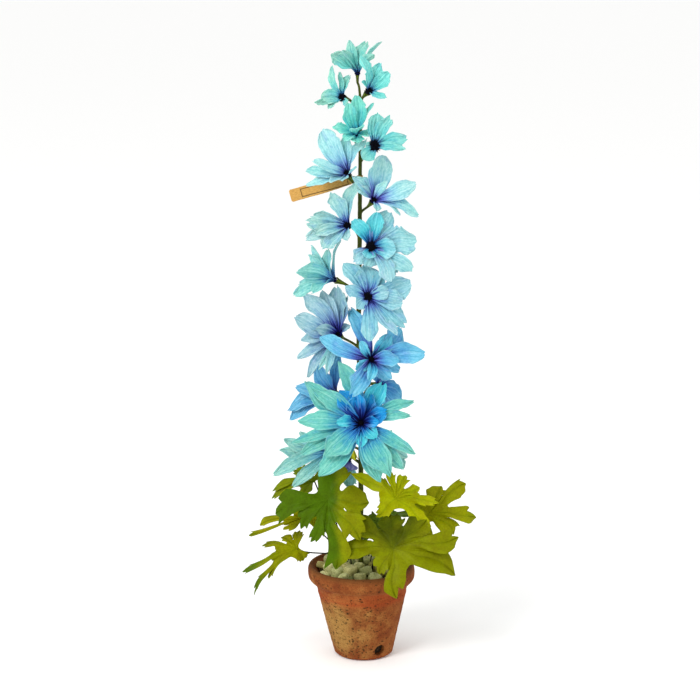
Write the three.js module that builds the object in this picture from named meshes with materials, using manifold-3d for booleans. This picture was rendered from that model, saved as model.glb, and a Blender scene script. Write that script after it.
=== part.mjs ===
// A potted delphinium: one tall flowering stem with cup-shaped blooms up its length, palmate leaves
// round its foot, white pebbles over the filling, and a hand-thrown terracotta pot with a side drain.
// Units are millimetres, +Z is up, and the origin is the centre of the pot's base on its underside.
// Right is +X, and the plant's front is towards -Y.
import * as THREE from "three";
import { mergeVertices } from "three/addons/utils/BufferGeometryUtils.js";
import Module from "manifold-3d";

const wasm = await Module();
wasm.setup();

// ---------------------------------------------------------------- driving dimensions

const GAP = 0.3; // what touching pieces keep between them
const SLIVER = 0.05; // facets thinner than this are merged away where pieces are joined

const POT = {
  height: 94.4,
  baseRadius: 29.5,
  baseRound: 2.4,
  wallRadius: 47, // just under the lip
  lipRadius: 54.8,
  lipFrom: 73, // height at which the rolled lip starts to flare
  // The lip's rolled section, as [how far inside lipRadius, how far below the rim].
  lip: [[3, 16.2], [0.7, 13.2], [0, 8.8], [0.7, 2.2], [3.5, 0]],
  lipInside: 6, // how far below the rim the lip runs into the wall inside
  wall: 5.5,
  floor: 6,
  lean: -0.026, // the hand-thrown wall drifts left by this share of its height
  sides: 28,
};
const DRAIN = {
  height: 11,
  radius: 6,
  length: 22,
  sides: 14,
  turn: 31, // degrees from the front towards the right
};
const FILL = { from: POT.floor + GAP, to: 80 }; // the potting mix that holds the stems
const PEBBLE = { size: 7.2, spacing: 15.6, jitter: 2.6, low: 85.5, mound: 4.5, field: 38.5, bed: 5.5 };

const STEM = {
  radiusLow: 2.5,
  radiusHigh: 1.0,
  thinFrom: 60, // it thins from this height
  thinTo: 590,
  taper: 1.6, // above 1, most of the thinning is near the top
  sides: 8,
  steps: 12,
  // centre line: x, y, z
  line: [
    [-2.6, 0, 40],
    [-2.8, 0, 130],
    [-3.2, 1, 230],
    [-5.2, 0.5, 340],
    [-4.4, 0, 430],
    [-4.0, 0, 505],
    [-3.6, 0, 556],
    [-4.8, 0, 577],
    [-6.6, 0, 584],
  ],
};

const PETAL = {
  thickness: 0.7,
  sunk: 1.2, // how far its root reaches into the receptacle
  claw: 0.16, // width of the root, as a share of the petal's width
  open: 0.16, // how far a bloom that faces the eye is dished, as a share of the petal's reach
  bow: 0.09, // how far its middle stands out from the chord, as a share of its length
  cup: 0.34, // how far its edges turn up, as a share of its half width
};
const LEAF = {
  thickness: 0.8,
  notch: 0.45, // how far out neighbouring lobes stay joined, as a share of their length
  bow: 0.1, // how far a rib's middle stands out from its chord, as a share of its length
  fold: 0.24, // how far a lobe's edges rise above its rib, as a share of its half width
};
const CENTRE = { radius: 3.5, height: 3.2, sides: 6 }; // the dark tuft in a bloom's middle
const DISC = { radius: 4.2, growth: 0.14, half: 1.6, sides: 6 }; // the receptacle, growing with each petal
const CALYX = { radius: 3.3, length: 8 };
const PEDICEL = {
  radius: 1.15,
  sides: 5,
  reach: 0.35, // how far it runs on from the stem before it turns, as a share of the way
  rise: 2, // how far it bends upwards over that stretch
  nod: 5, // how far it runs along the bloom's axis before the calyx
  flare: 0.55, // its width half way up the calyx, as a share of the calyx's
};
const PETIOLE = {
  radius: 0.95,
  sides: 5,
  steps: 6,
  depth: 12, // how deep it stands in the filling
  collar: 100, // it is straight up to this height
  lean: 0.12, // how far it leans out over that stretch, as a share of the way to the blade
  run: 1.5, // how far on that straight line it starts to bend, as a share of the stretch
  far: 0.8, // how far out it bends back up, as a share of the way from the collar to the blade
  drop: 7, // how far behind the blade it bends
};

// Petals, lobes and the way a bloom faces are laid out as a person sees the plant from the front:
// [right, up, near], where near points along the line of sight to an eye at this place.
const EYE = { distance: 1956, height: 734 };

// Each bloom: its name, where its receptacle is, the way it faces, where its stalk leaves the stem,
// and its petals as [right, up, near, width, twist in degrees, bow], from the receptacle to the tip.
const BLOOMS = [
  {
    name: "bloom_01", at: [-6.7, 0, 592.5], faces: [0, 1, 0.2], stalk: null,
    petals: [
      [-25, 21, 6, 17, 75, 0.05], [-8, 33, -11, 10, 45], [8, 34, -11, 16], [24, 31, -4, 10, 45],
      [-13, 24, 10, 10, 60], [-17, 20, -14, 10], [15, 20, 9, 10, 60],
    ],
  },
  {
    name: "bloom_02", at: [3.5, -12, 575.6], faces: [0.45, 0.45, 0.77], stalk: 558,
    petals: [
      [-6, 34, 12, 13, -15, 0.12], [12, 29, -3, 12], [21, 19, 1, 14], [18, -7, 9, 11],
      [3, 21, -6, 12], [-2, 12, -9, 10],
    ],
  },
  {
    name: "bloom_03", at: [-20.7, -8, 569.5], faces: [-0.55, 0.15, 0.82], stalk: 552,
    petals: [
      [-12, 31, -3, 10, 20], [-3, 26, -7, 9, 30], [6, 23, -3, 10], [-21, 1, 9, 14],
      [-28, -5, 4, 9, 50], [4, -7, 9, 7], [-15, -10, 11, 9],
    ],
  },
  {
    name: "bloom_04", at: [-8.1, -14, 534.2], faces: [0.0, 0.72, 0.7], stalk: 516,
    petals: [
      [-8, 31, 4, 15], [1, 39, -5, 15], [18, 31, -7, 11, 40], [-23, 8, 3, 12],
      [3, 9, 20, 15], [2, -8, 12, 13], [13, 0, 11, 11], [-12, -4, 13, 11],
    ],
  },
  {
    name: "bloom_05", at: [9.3, -20, 524.2], faces: [0.12, 0.1, 0.98], stalk: 506,
    petals: [
      [16, 30, 1, 14], [3, 33, -1, 15], [33, 8, 3, 13], [30, -3, 10, 11, 45], [-11, -13, 10, 15],
      [-8, 0, 6, 8], [10, 18, -2, 10],
    ],
  },
  {
    name: "bloom_06", at: [-15.9, -8, 494.5], faces: [-0.42, 0.62, 0.66], stalk: 476,
    petals: [
      [-26, 45, -3, 21], [-2, 39, -3, 16], [17, 36, 14, 12], [-35, 14, 11, 13], [-42, 3, -4, 13],
      [-42, -12, 3, 10], [-18, -7, 12, 10], [8, 8, 13, 8, 35], [-6, -6, 14, 9],
    ],
  },
  {
    name: "bloom_07", at: [8.6, -12, 469.5], faces: [0.45, 0.5, 0.74], stalk: 455,
    petals: [
      [9, 46, -5, 24], [-20, 25, 6, 15], [-15, 14, 8, 10, 30], [42, 18, -2, 18],
      [46, -13, 4, 13], [27, -12, 10, 9, 30], [4, -9, 13, 9], [14, 20, 6, 9],
    ],
  },
  {
    name: "bloom_08", at: [-15.9, -14, 445.1], faces: [-0.42, 0.1, 0.9], stalk: 430,
    petals: [
      [-16, 35, -2, 16], [7, 43, 1, 15, 15], [-43, 4, 1, 14], [-43, -13, -4, 12],
      [-34, -8, 7, 11], [-26, -23, 4, 17], [-1, -14, 10, 10], [-38, 10, -5, 13],
    ],
  },
  {
    name: "bloom_09", at: [6.6, -24, 425.9], faces: [0.08, 0.0, 1.0], stalk: 408,
    petals: [
      [19, 35, -9, 22], [6, 34, -2, 15], [-18, 27, 3, 13], [45, 6, -4, 26], [42, -23, -2, 16],
      [24, -2, 7, 19], [20, -34, 3, 17], [25, -27, -5, 15], [-18, -15, -2, 15], [-4, -20, 0, 17],
      [-4, -11, 8, 13],
    ],
  },
  {
    name: "bloom_10", at: [-28.8, -2, 389.3], faces: [-0.9, 0.36, 0.14], stalk: 372,
    petals: [
      [-24, 36, -12, 15], [-10, 30, 4, 15, -35], [-29, 26, -20, 13], [-38, 9, 16, 18],
      [-42, -15, 3, 13], [-37, -6, -16, 12], [-24, -14, 15, 13, 60, 0.1], [3, 41, 2, 10],
    ],
  },
  {
    name: "bloom_11", at: [3.7, -24, 376.2], faces: [0.08, 0.05, 1.0], stalk: 356,
    petals: [
      [-24, 34, -6, 16], [-3, 33, -3, 24], [14, 23, -6, 14], [43, 14, -4, 24],
      [36, -6, 1, 19], [38, -28, -4, 19], [30, -38, 3, 11, 40], [2, -43, 4, 16],
      [-24, 10, 5, 13], [-11, -11, 8, 14], [20, 6, 6, 14],
    ],
  },
  {
    name: "bloom_12", at: [-24.9, -10, 335.3], faces: [-0.42, 0.3, 0.86], stalk: 320,
    petals: [
      [-34, 41, -3, 18], [-16, 45, -2, 15], [-2, 50, -4, 23], [5, 43, -8, 12], [8, 41, 4, 9, 45],
      [-45, 18, -3, 21], [-38, -5, 2, 12], [-43, -22, -4, 12], [-32, -43, 1, 9, 25],
      [-21, -36, 7, 8, 45], [-13, -39, 10, 8, 45], [-22, 7, 9, 13], [11, 10, 5, 8],
    ],
  },
  {
    name: "bloom_13", at: [6.8, -22, 312.8], faces: [0.18, 0.0, 0.98], stalk: 293,
    petals: [
      [-22, 54, -8, 14], [-8, 46, -11, 15], [31, 31, -7, 20], [55, 6, -3, 20], [-50, 23, 5, 17],
      [-22, -37, 34, 20], [20, -20, -5, 13], [30, -11, -7, 12], [-10, 18, 9, 9], [19, 24, 2, 16],
      [27, 0, 9, 15], [-15, -10, 21, 11], [-2, -21, 27, 10],
    ],
  },
  {
    name: "bloom_14", at: [-3.1, -43, 253.2], faces: [0.0, 0.16, 0.98], stalk: 226,
    petals: [
      [-22, 32, 4, 21], [-5, 29, 6, 19], [9, 31, 2, 17], [23, 42, -3, 21], [26, 12, 10, 16],
      [17, 1, 13, 11], [-24, 1, 12, 11], [-1, -23, 12, 11], [15, -14, 12, 14], [-58, 43, -6, 19],
      [-47, 34, 3, 17], [-61, 3, 5, 18], [-69, -19, 1, 11], [-61, -32, -1, 16], [-36, -33, 13, 24],
      [-42, -52, 5, 23], [19, -58, 0, 19], [29, -52, 7, 24], [42, -46, -5, 17], [54, -30, 2, 13],
      [50, 8, 1, 11], [53, 23, -5, 11], [-22, 62, -8, 17],
    ],
  },
  {
    name: "bloom_15", at: [-28, 4, 271.8], faces: [-0.6, 0.2, 0.77], stalk: 258,
    petals: [
      [-20, 31, 2, 20], [3, 42, -4, 15], [-41, 7, 2, 15], [-40, -4, -6, 13], [-49, -15, 2, 15],
      [-47, -27, -3, 18], [-10, -28, 4, 15], [14, -10, 8, 13],
    ],
  },
  {
    name: "bloom_16", at: [14, 8, 279.6], faces: [0.6, -0.2, 0.77], stalk: 262,
    petals: [
      [25, -14, 2, 18], [13, -23, 0, 15], [21, -3, -5, 14], [10, 12, -4, 12], [-5, 15, -1, 12],
      [-12, -14, 6, 13],
    ],
  },
  {
    name: "bloom_17", at: [-34, 0, 213.5], faces: [-0.6, -0.1, 0.8], stalk: 200,
    petals: [
      [-48, 13, 2, 13], [-52, 2, -3, 13], [-58, -25, 3, 14], [-39, -35, 1, 13], [-32, 20, -2, 13],
      [8, 20, 2, 14], [10, -16, 8, 13],
    ],
  },
  {
    name: "bloom_18", at: [20.3, 10, 215.6], faces: [0.55, -0.2, 0.8], stalk: 203,
    petals: [
      [24, -11, 2, 14], [21, -24, -1, 15], [20, 2, -5, 13], [8, 18, -4, 13], [1, -26, 0, 14],
      [-6, 18, 2, 12],
    ],
  },
  {
    name: "bloom_19", at: [-15, -6, 206.8], faces: [-0.1, -0.93, -0.15], stalk: 214,
    petals: [
      [-17, -19, 3, 7, 50], [2, -12, 12, 13], [1, -29, 6, 15], [5, -26, -4, 12], [-13, -14, -12, 13],
    ],
  },
];

// Each leaf: its name, where its lobes meet, the way its upper face points, where its stalk stands
// in the pot, and its lobes as [right, up, near, width], counter-clockwise seen from its upper face.
const LEAVES = [
  {
    name: "leaf_01", at: [-36, -38, 173], faces: [-0.1, 0.25, 0.96], foot: [-9, -8],
    lobes: [
      [8, 36, -16, 25], [-53, -12, -3, 24], [-27, -28, 3, 17], [-17, -41, 4, 13],
      [8, -68, 8, 23], [32, -40, 9, 24], [41, -3, -4, 27],
    ],
  },
  {
    name: "leaf_02", at: [31.5, -12, 167], faces: [0.1, 0.55, 0.83], foot: [3, -7],
    lobes: [
      [-44, 24, 22, 14], [-19, -19, 4, 12], [36, -29, 6, 13], [44, -3, 4, 14], [25, 12, -3, 14],
      [11, 24, -5, 14], [-4, 28, -7, 13], [-14, 21, -6, 10],
    ],
  },
  {
    name: "leaf_03", at: [66, 4, 146], faces: [0.2, 0.45, 0.87], foot: [6, -2],
    lobes: [
      [-17, 10, -3, 20], [-14, -20, -2, 24], [26, -20, 3, 26], [49, -1, 2, 21], [38, 31, 1, 21],
      [14, 29, 1, 19],
    ],
  },
  {
    name: "leaf_04", at: [29, -50, 127], faces: [0.0, 0.5, 0.86], foot: [6, -10],
    lobes: [
      [-4, 34, -18, 22], [-44, 27, -9, 22], [-54, -3, -1, 20], [-14, -27, 5, 14], [3, -51, 6, 21],
      [61, -27, 2, 22], [65, 9, -3, 26], [34, 26, -14, 24],
    ],
  },
  {
    name: "leaf_05", at: [-57, -8, 146], faces: [-0.2, 0.5, 0.84], foot: [-11, -2],
    lobes: [
      [2, 22, -6, 14], [-15, 10, 0, 12], [-48, -8, 2, 16], [-58, -21, 4, 11], [-25, -11, 5, 10],
      [16, -8, -6, 15],
    ],
  },
  {
    name: "leaf_06", at: [-67.8, -14, 114.9], faces: [-0.3, 0.75, 0.55], foot: [-12, -6],
    lobes: [
      [3, 18, -6, 13], [-16, 12, -3, 9], [-36, 3, 0, 14], [-54, -25, 4, 18], [-45, -45, 6, 10],
      [-28, -30, 8, 14], [6, -12, -6, 12],
    ],
  },
  {
    name: "leaf_07", at: [-50, 12, 178], faces: [-0.2, 0.7, 0.6], foot: [-10, 4],
    lobes: [
      [14, 8, -10, 14], [-22, 10, -12, 14], [-44, -6, -2, 12], [-44, -16, 2, 12], [-14, -14, 8, 12],
    ],
  },
  {
    name: "leaf_08", at: [20, 26, 131], faces: [0.3, 0.7, -0.6], foot: [3, 7],
    lobes: [
      [-18, 2, 4, 16], [6, 28, -8, 18], [38, 12, -16, 18], [30, -22, -31, 20], [0, -24, -31, 18],
      [-24, -18, -14, 14],
    ],
  },
];

// The paper label looped round the stem: a flag to the left and a narrow band round the stem.
const TAG = {
  height: 12.4,
  neck: 9.2,
  thickness: 0.7,
  end: [-72.8, 2.9, 472.2],
  nearStem: [-14, 2.9, 488.4],
  band: { height: 3, wall: 0.8, clear: 0.45 },
  at: 491.6,
};

// ---------------------------------------------------------------- helpers

const v3 = (x, y, z) => new THREE.Vector3(x, y, z);
const mix = (a, b, t) => a + (b - a) * t;
const mixPoint = (a, b, t) => a.clone().lerp(b, t);

// A small seeded random source, so that every build is the same.
function seeded(seed) {
  let state = seed >>> 0;
  return () => {
    state = (state + 0x6d2b79f5) >>> 0;
    let r = Math.imul(state ^ (state >>> 15), 1 | state);
    r = (r + Math.imul(r ^ (r >>> 7), 61 | r)) ^ r;
    return ((r ^ (r >>> 14)) >>> 0) / 4294967296;
  };
}

// Directions right, up and near for a piece at a place, as the eye sees it.
function sight(at) {
  const fall = Math.atan2(EYE.height - at.z, EYE.distance + at.y);
  const right = v3(1, 0, 0);
  const up = v3(0, Math.sin(fall), Math.cos(fall));
  const near = v3(0, -Math.cos(fall), Math.sin(fall));
  return ([r, u, n]) => right.clone().multiplyScalar(r).addScaledVector(up, u).addScaledVector(near, n);
}

// A closed three.js geometry as a manifold-3d solid.
function solidOf(geometry) {
  const bare = new THREE.BufferGeometry();
  bare.setAttribute("position", geometry.getAttribute("position"));
  bare.setIndex(geometry.getIndex());
  const merged = mergeVertices(bare, 1e-3);
  return new wasm.Manifold(
    new wasm.Mesh({
      numProp: 3,
      vertProperties: Float32Array.from(merged.attributes.position.array),
      triVerts: Uint32Array.from(merged.index.array),
    }),
  );
}

function geometryOf(solid) {
  const mesh = solid.getMesh();
  const positions = new Float32Array(mesh.numVert * 3);
  for (let i = 0; i < mesh.numVert; i++) {
    positions.set(mesh.vertProperties.subarray(i * mesh.numProp, i * mesh.numProp + 3), i * 3);
  }
  const geometry = new THREE.BufferGeometry();
  geometry.setAttribute("position", new THREE.BufferAttribute(positions, 3));
  geometry.setIndex(new THREE.BufferAttribute(Uint32Array.from(mesh.triVerts), 1));
  geometry.computeVertexNormals();
  return geometry;
}

const joined = (solids) => solids.reduce((all, next) => all.add(next));

// A joined solid cleaned up: slivers are merged away, and of what is left the largest body is kept,
// without loose scraps and sealed hollows.
function cleaned(solid) {
  const bodies = solidOf(geometryOf(solid.simplify(SLIVER))).decompose();
  return bodies.reduce((best, body) => (body.volume() > best.volume() ? body : best));
}

function indexed(points, triangles) {
  const geometry = new THREE.BufferGeometry();
  const flat = points.flatMap((p) => [p.x, p.y, p.z]);
  geometry.setAttribute("position", new THREE.Float32BufferAttribute(flat, 3));
  geometry.setIndex(triangles.flat());
  return geometry;
}

// A thin sheet as a closed solid: its middle surface is moved half a thickness both ways along the
// vertex normals, and walls close its open edges. Both faces are split into triangles alike.
function sheetSolid(points, triangles, thickness) {
  const middle = indexed(points, triangles);
  middle.computeVertexNormals();
  const normals = middle.getAttribute("normal");
  const count = points.length;
  const side = (sign) =>
    points.map((p, i) => {
      const normal = new THREE.Vector3().fromBufferAttribute(normals, i);
      return p.clone().addScaledVector(normal, (sign * thickness) / 2);
    });
  const edges = new Map();
  for (const [a, b, c] of triangles) {
    for (const [from, to] of [[a, b], [b, c], [c, a]]) {
      if (!edges.delete(`${to},${from}`)) edges.set(`${from},${to}`, [from, to]);
    }
  }
  const faces = [];
  for (const [a, b, c] of triangles) {
    faces.push([a, b, c], [c + count, b + count, a + count]);
  }
  for (const [from, to] of edges.values()) {
    faces.push([to, from, from + count], [to, from + count, to + count]);
  }
  return solidOf(indexed([...side(1), ...side(-1)], faces));
}

// Triangles between successive rows of point numbers; a row may have fewer points than the next.
function stripTriangles(rows) {
  const triangles = [];
  for (let r = 0; r < rows.length - 1; r++) {
    const near = rows[r];
    const far = rows[r + 1];
    let i = 0;
    let j = 0;
    while (i < near.length - 1 || j < far.length - 1) {
      const nearNext = i < near.length - 1 ? (i + 1) / (near.length - 1) : Infinity;
      const farNext = j < far.length - 1 ? (j + 1) / (far.length - 1) : Infinity;
      if (nearNext < farNext) triangles.push([near[i], near[++i], far[j]]);
      else triangles.push([near[i], far[j + 1], far[j++]]);
    }
  }
  return triangles;
}

// A round stalk along a curve, with a radius for each station.
function stalkSolid(curve, radii, sides) {
  const steps = radii.length - 1;
  const frames = curve.computeFrenetFrames(steps, false);
  const points = [];
  const triangles = [];
  radii.forEach((radius, i) => {
    const centre = curve.getPointAt(i / steps);
    for (let k = 0; k < sides; k++) {
      const angle = (2 * Math.PI * k) / sides;
      points.push(
        centre
          .clone()
          .addScaledVector(frames.normals[i], radius * Math.cos(angle))
          .addScaledVector(frames.binormals[i], radius * Math.sin(angle)),
      );
    }
    if (i === 0) return;
    for (let k = 0; k < sides; k++) {
      const a = (i - 1) * sides + k;
      const b = (i - 1) * sides + ((k + 1) % sides);
      triangles.push([a, b, a + sides], [a + sides, b, b + sides]);
    }
  });
  for (let k = 1; k < sides - 1; k++) {
    triangles.push([0, k + 1, k]);
    const last = steps * sides;
    triangles.push([last, last + k, last + k + 1]);
  }
  return solidOf(indexed(points, triangles));
}

// A lathed solid whose axis runs from a place along a direction.
function turnedSolid(profile, sides, at, along) {
  const geometry = new THREE.LatheGeometry(
    profile.map(([r, h]) => new THREE.Vector2(r, h)),
    sides,
  );
  geometry.applyQuaternion(new THREE.Quaternion().setFromUnitVectors(v3(0, 1, 0), along));
  geometry.translate(at.x, at.y, at.z);
  return solidOf(geometry);
}

// ---------------------------------------------------------------- blooms

// A petal's half width along its length, as a share: a narrow claw, widest past the middle, a point.
function petalOutline(t) {
  const belly = Math.pow(Math.sin(Math.PI * Math.pow(t, 1.5)), 0.9);
  return PETAL.claw * (1 - t) + 0.98 * belly + 0.05 * t;
}

// Rows across a petal from its root to its tip, as [share of its length, number of points].
const WIDE_PETAL = [[0, 2], [0.38, 3], [0.74, 3], [1, 1]];
const NARROW_PETAL = [[0, 2], [0.4, 2], [0.76, 2], [1, 1]];
const SMALL_PETAL = [[0, 2], [0.62, 3], [1, 1]];

function petalRows(length, width) {
  if (length < 24) return SMALL_PETAL;
  return width < 12.5 ? NARROW_PETAL : WIDE_PETAL;
}

// Where a petal starts on the receptacle's rim: steep, inner petals start higher than outer ones.
function petalRoot({ base, axis, reach }, tip) {
  const rise = tip.dot(axis);
  const outward = tip.clone().addScaledVector(axis, -rise).normalize();
  const layer = THREE.MathUtils.clamp(rise / tip.length() / 0.6, -1, 1);
  return base
    .clone()
    .addScaledVector(outward, reach - PETAL.sunk)
    .addScaledVector(axis, layer * (DISC.half - 0.5));
}

// A petal is cupped across, bowed along, and turned about its own length by its twist.
function petalSolid(bloom, [right, up, near, width, twist = 0, bow = PETAL.bow]) {
  const { base, axis, toPart, faces } = bloom;
  const dish = PETAL.open * Math.hypot(right, up) * Math.max(0, faces[2]);
  const tip = toPart([right, up, near + dish]);
  const root = petalRoot(bloom, tip);
  const chord = base.clone().add(tip).sub(root);
  const length = chord.length();
  const along = chord.clone().divideScalar(length);
  const face = axis.clone().addScaledVector(along, -axis.dot(along)).normalize();
  const across = along.clone().cross(face);
  const points = [];
  const rows = petalRows(length, width).map(([t, columns]) => {
    const turn = THREE.MathUtils.degToRad(twist) * Math.min(1, t * 1.6);
    const side = across.clone().multiplyScalar(Math.cos(turn)).addScaledVector(face, Math.sin(turn));
    const lift = face.clone().multiplyScalar(Math.cos(turn)).addScaledVector(across, -Math.sin(turn));
    const arch = 4 * bow * length * t * (1 - t);
    const middle = root.clone().addScaledVector(chord, t).addScaledVector(face, arch);
    const half = (width / 2) * petalOutline(t);
    return Array.from({ length: columns }, (_, j) => {
      const s = columns > 1 ? (2 * j) / (columns - 1) - 1 : 0;
      const point = middle.clone().addScaledVector(side, s * half);
      if (columns > 2) point.addScaledVector(lift, PETAL.cup * half * (s * s - 0.4) * (0.3 + t));
      return points.push(point) - 1;
    });
  });
  return sheetSolid(points, stripTriangles(rows), PETAL.thickness);
}

// An entry of a table with its place, its frame and the direction that it faces.
function placed(entry) {
  const base = v3(...entry.at);
  const toPart = sight(base);
  return { ...entry, base, toPart, axis: toPart(entry.faces).normalize() };
}

const budded = (bloom) => ({ ...placed(bloom), reach: DISC.radius + DISC.growth * bloom.petals.length });

function bloomSolid(bloom) {
  const { half, sides } = DISC;
  const profile = [[0, -half], [bloom.reach - 0.6, -half], [bloom.reach, half], [0, half]];
  const disc = turnedSolid(profile, sides, bloom.base, bloom.axis);
  return joined([disc, ...bloom.petals.map((petal) => petalSolid(bloom, petal))]);
}

// The dark tuft: a low dome, its gap clear of the receptacle.
function centreSolid(bloom) {
  const { radius, height, sides } = CENTRE;
  const foot = bloom.base.clone().addScaledVector(bloom.axis, DISC.half + GAP);
  const profile = [[0, 0], [radius * 0.85, 0], [radius, height * 0.5], [0, height]];
  return turnedSolid(profile, sides, foot, bloom.axis);
}

// ---------------------------------------------------------------- stem

const stemCurve = new THREE.CatmullRomCurve3(STEM.line.map((p) => v3(...p)), false, "centripetal");

// The point of the stem's centre line at a height.
function stemPoint(height) {
  let [low, high] = [0, 1];
  while (high - low > 1e-4) {
    const middle = (low + high) / 2;
    if (stemCurve.getPoint(middle).z < height) low = middle;
    else high = middle;
  }
  return stemCurve.getPoint(low);
}

function stemRadius(height) {
  const share = THREE.MathUtils.clamp((height - STEM.thinFrom) / (STEM.thinTo - STEM.thinFrom), 0, 1);
  return mix(STEM.radiusLow, STEM.radiusHigh, Math.pow(share, STEM.taper));
}

// A bloom's stalk leaves the stem, curves out and opens into the calyx behind the receptacle.
function pedicelSolid(bloom) {
  const back = bloom.base.clone().addScaledVector(bloom.axis, -(DISC.half + GAP));
  const neck = back.clone().addScaledVector(bloom.axis, -CALYX.length);
  if (bloom.stalk === null) return tipSolid(back, bloom.axis);
  const foot = stemPoint(bloom.stalk);
  const path = new THREE.CurvePath();
  path.add(new THREE.CubicBezierCurve3(
    foot,
    mixPoint(foot, neck, PEDICEL.reach).add(v3(0, 0, PEDICEL.rise)),
    neck.clone().addScaledVector(bloom.axis, -PEDICEL.nod),
    neck,
  ));
  path.add(new THREE.LineCurve3(neck, back));
  const { radius, sides, flare } = PEDICEL;
  return stalkSolid(path, [radius, radius, CALYX.radius * flare, CALYX.radius], sides);
}

// The stem's own end, which widens into the calyx of the topmost bloom.
function tipSolid(back, axis) {
  const end = stemCurve.getPoint(1);
  const start = end.clone().addScaledVector(stemCurve.getTangent(1), -2);
  const neck = back.clone().addScaledVector(axis, -3);
  const path = new THREE.CurvePath();
  path.add(new THREE.LineCurve3(start, neck));
  path.add(new THREE.LineCurve3(neck, back));
  return stalkSolid(path, [1, 1.1, 1.9, CALYX.radius - 0.4], PEDICEL.sides);
}

function stemSolid(blooms) {
  const { steps, sides } = STEM;
  const radii = Array.from({ length: steps + 1 }, (_, i) => stemRadius(stemCurve.getPointAt(i / steps).z));
  return joined([stalkSolid(stemCurve, radii, sides), ...blooms.map(pedicelSolid)]);
}

// ---------------------------------------------------------------- leaves

// A lobe's edge as [share of its length, share of its half width]: a shoulder, a tooth and a point.
const LOBE_EDGE = [[0.7, 1.0], [0.77, 0.64], [0.92, 0.42]];

// A lobe's rib: an arch from the middle of the leaf to the lobe's tip, with the directions across
// the lobe and out of its face.
function lobeRib(leaf, [right, up, near]) {
  const chord = leaf.toPart([right, up, near]);
  const length = chord.length();
  const along = chord.clone().divideScalar(length);
  const face = leaf.axis.clone().addScaledVector(along, -leaf.axis.dot(along)).normalize();
  const across = face.clone().cross(along);
  const arch = 4 * LEAF.bow * length;
  const at = (t) => leaf.base.clone().addScaledVector(chord, t).addScaledVector(face, arch * t * (1 - t));
  return { at, face, across };
}

// Rows run across each lobe from the middle of the leaf to the lobe's tip, and neighbouring lobes
// share the notch between them.
function bladeSolid(leaf) {
  const count = leaf.lobes.length;
  const points = [leaf.base.clone()];
  const add = (point) => points.push(point) - 1;
  const ribs = leaf.lobes.map((lobe) => lobeRib(leaf, lobe));
  const notches = ribs.map((rib, k) => {
    const next = ribs[(k + 1) % count];
    return add(mixPoint(rib.at(LEAF.notch), next.at(LEAF.notch), 0.5));
  });
  const triangles = ribs.flatMap((rib, k) => {
    const half = leaf.lobes[k][3] / 2;
    const edge = (t, s) => {
      const rise = LEAF.fold * half * Math.abs(s);
      return add(rib.at(t).addScaledVector(rib.across, s * half).addScaledVector(rib.face, rise));
    };
    const middleRow = [notches[(k + count - 1) % count], 0, notches[k]];
    const rows = LOBE_EDGE.map(([t, s]) => [edge(t, -s), add(rib.at(t)), edge(t, s)]);
    return stripTriangles([middleRow, ...rows, [add(rib.at(1))]]);
  });
  return sheetSolid(points, triangles, LEAF.thickness);
}

function leafSolid(leaf) {
  const radii = Array(PETIOLE.steps + 1).fill(PETIOLE.radius);
  return bladeSolid(leaf).add(stalkSolid(petioleCurve(leaf), radii, PETIOLE.sides));
}

// A leaf's stalk stands straight in the potting mix and the pebbles, then bends over to the blade.
function petioleEnds(leaf) {
  const foot = v3(leaf.foot[0], leaf.foot[1], FILL.to - PETIOLE.depth);
  const lean = v3(leaf.base.x - foot.x, leaf.base.y - foot.y, 0).multiplyScalar(PETIOLE.lean);
  const collar = foot.clone().add(lean).setZ(PETIOLE.collar);
  return [foot, collar];
}

function petioleCurve(leaf) {
  const [foot, collar] = petioleEnds(leaf);
  const under = leaf.base.clone().addScaledVector(leaf.axis, -0.2);
  const path = new THREE.CurvePath();
  path.add(new THREE.LineCurve3(foot, collar));
  path.add(new THREE.CubicBezierCurve3(
    collar,
    mixPoint(foot, collar, PETIOLE.run),
    mixPoint(collar, under, PETIOLE.far).addScaledVector(leaf.axis, -PETIOLE.drop),
    under,
  ));
  return path;
}

// ---------------------------------------------------------------- pot, filling, pebbles, tag

const potAxisX = (z) => POT.lean * z;

// The pot leans a little to the left as it rises.
function leaned(geometry) {
  const position = geometry.getAttribute("position");
  for (let i = 0; i < position.count; i++) {
    position.setX(i, position.getX(i) + potAxisX(position.getZ(i)));
  }
  return geometry;
}

function latheUp(profile, sides) {
  const geometry = new THREE.LatheGeometry(
    profile.map(([r, h]) => new THREE.Vector2(r, h)),
    sides,
  );
  return leaned(geometry.rotateX(Math.PI / 2));
}

// The wall's outer radius at a height, under the lip.
const wallRadius = (z) => mix(POT.baseRadius, POT.wallRadius, z / POT.lipFrom);
const innerRadius = (z) => wallRadius(z) - POT.wall;

function potSolid() {
  const { height, baseRound, lipRadius, lipFrom, lip, lipInside, floor, baseRadius, sides } = POT;
  const profile = [
    [0, 0],
    [baseRadius - baseRound, 0],
    [wallRadius(baseRound), baseRound],
    [wallRadius(lipFrom), lipFrom],
    ...lip.map(([inward, down]) => [lipRadius - inward, height - down]),
    [innerRadius(height - lipInside), height - lipInside],
    [innerRadius(floor), floor],
    [0, floor],
  ];
  const shell = solidOf(latheUp(profile, sides));
  const turn = THREE.MathUtils.degToRad(DRAIN.turn);
  const drain = new THREE.CylinderGeometry(DRAIN.radius, DRAIN.radius, DRAIN.length, DRAIN.sides);
  drain.translate(0, -wallRadius(DRAIN.height), 0).rotateZ(turn).translate(0, 0, DRAIN.height);
  return shell.subtract(solidOf(drain));
}

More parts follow.
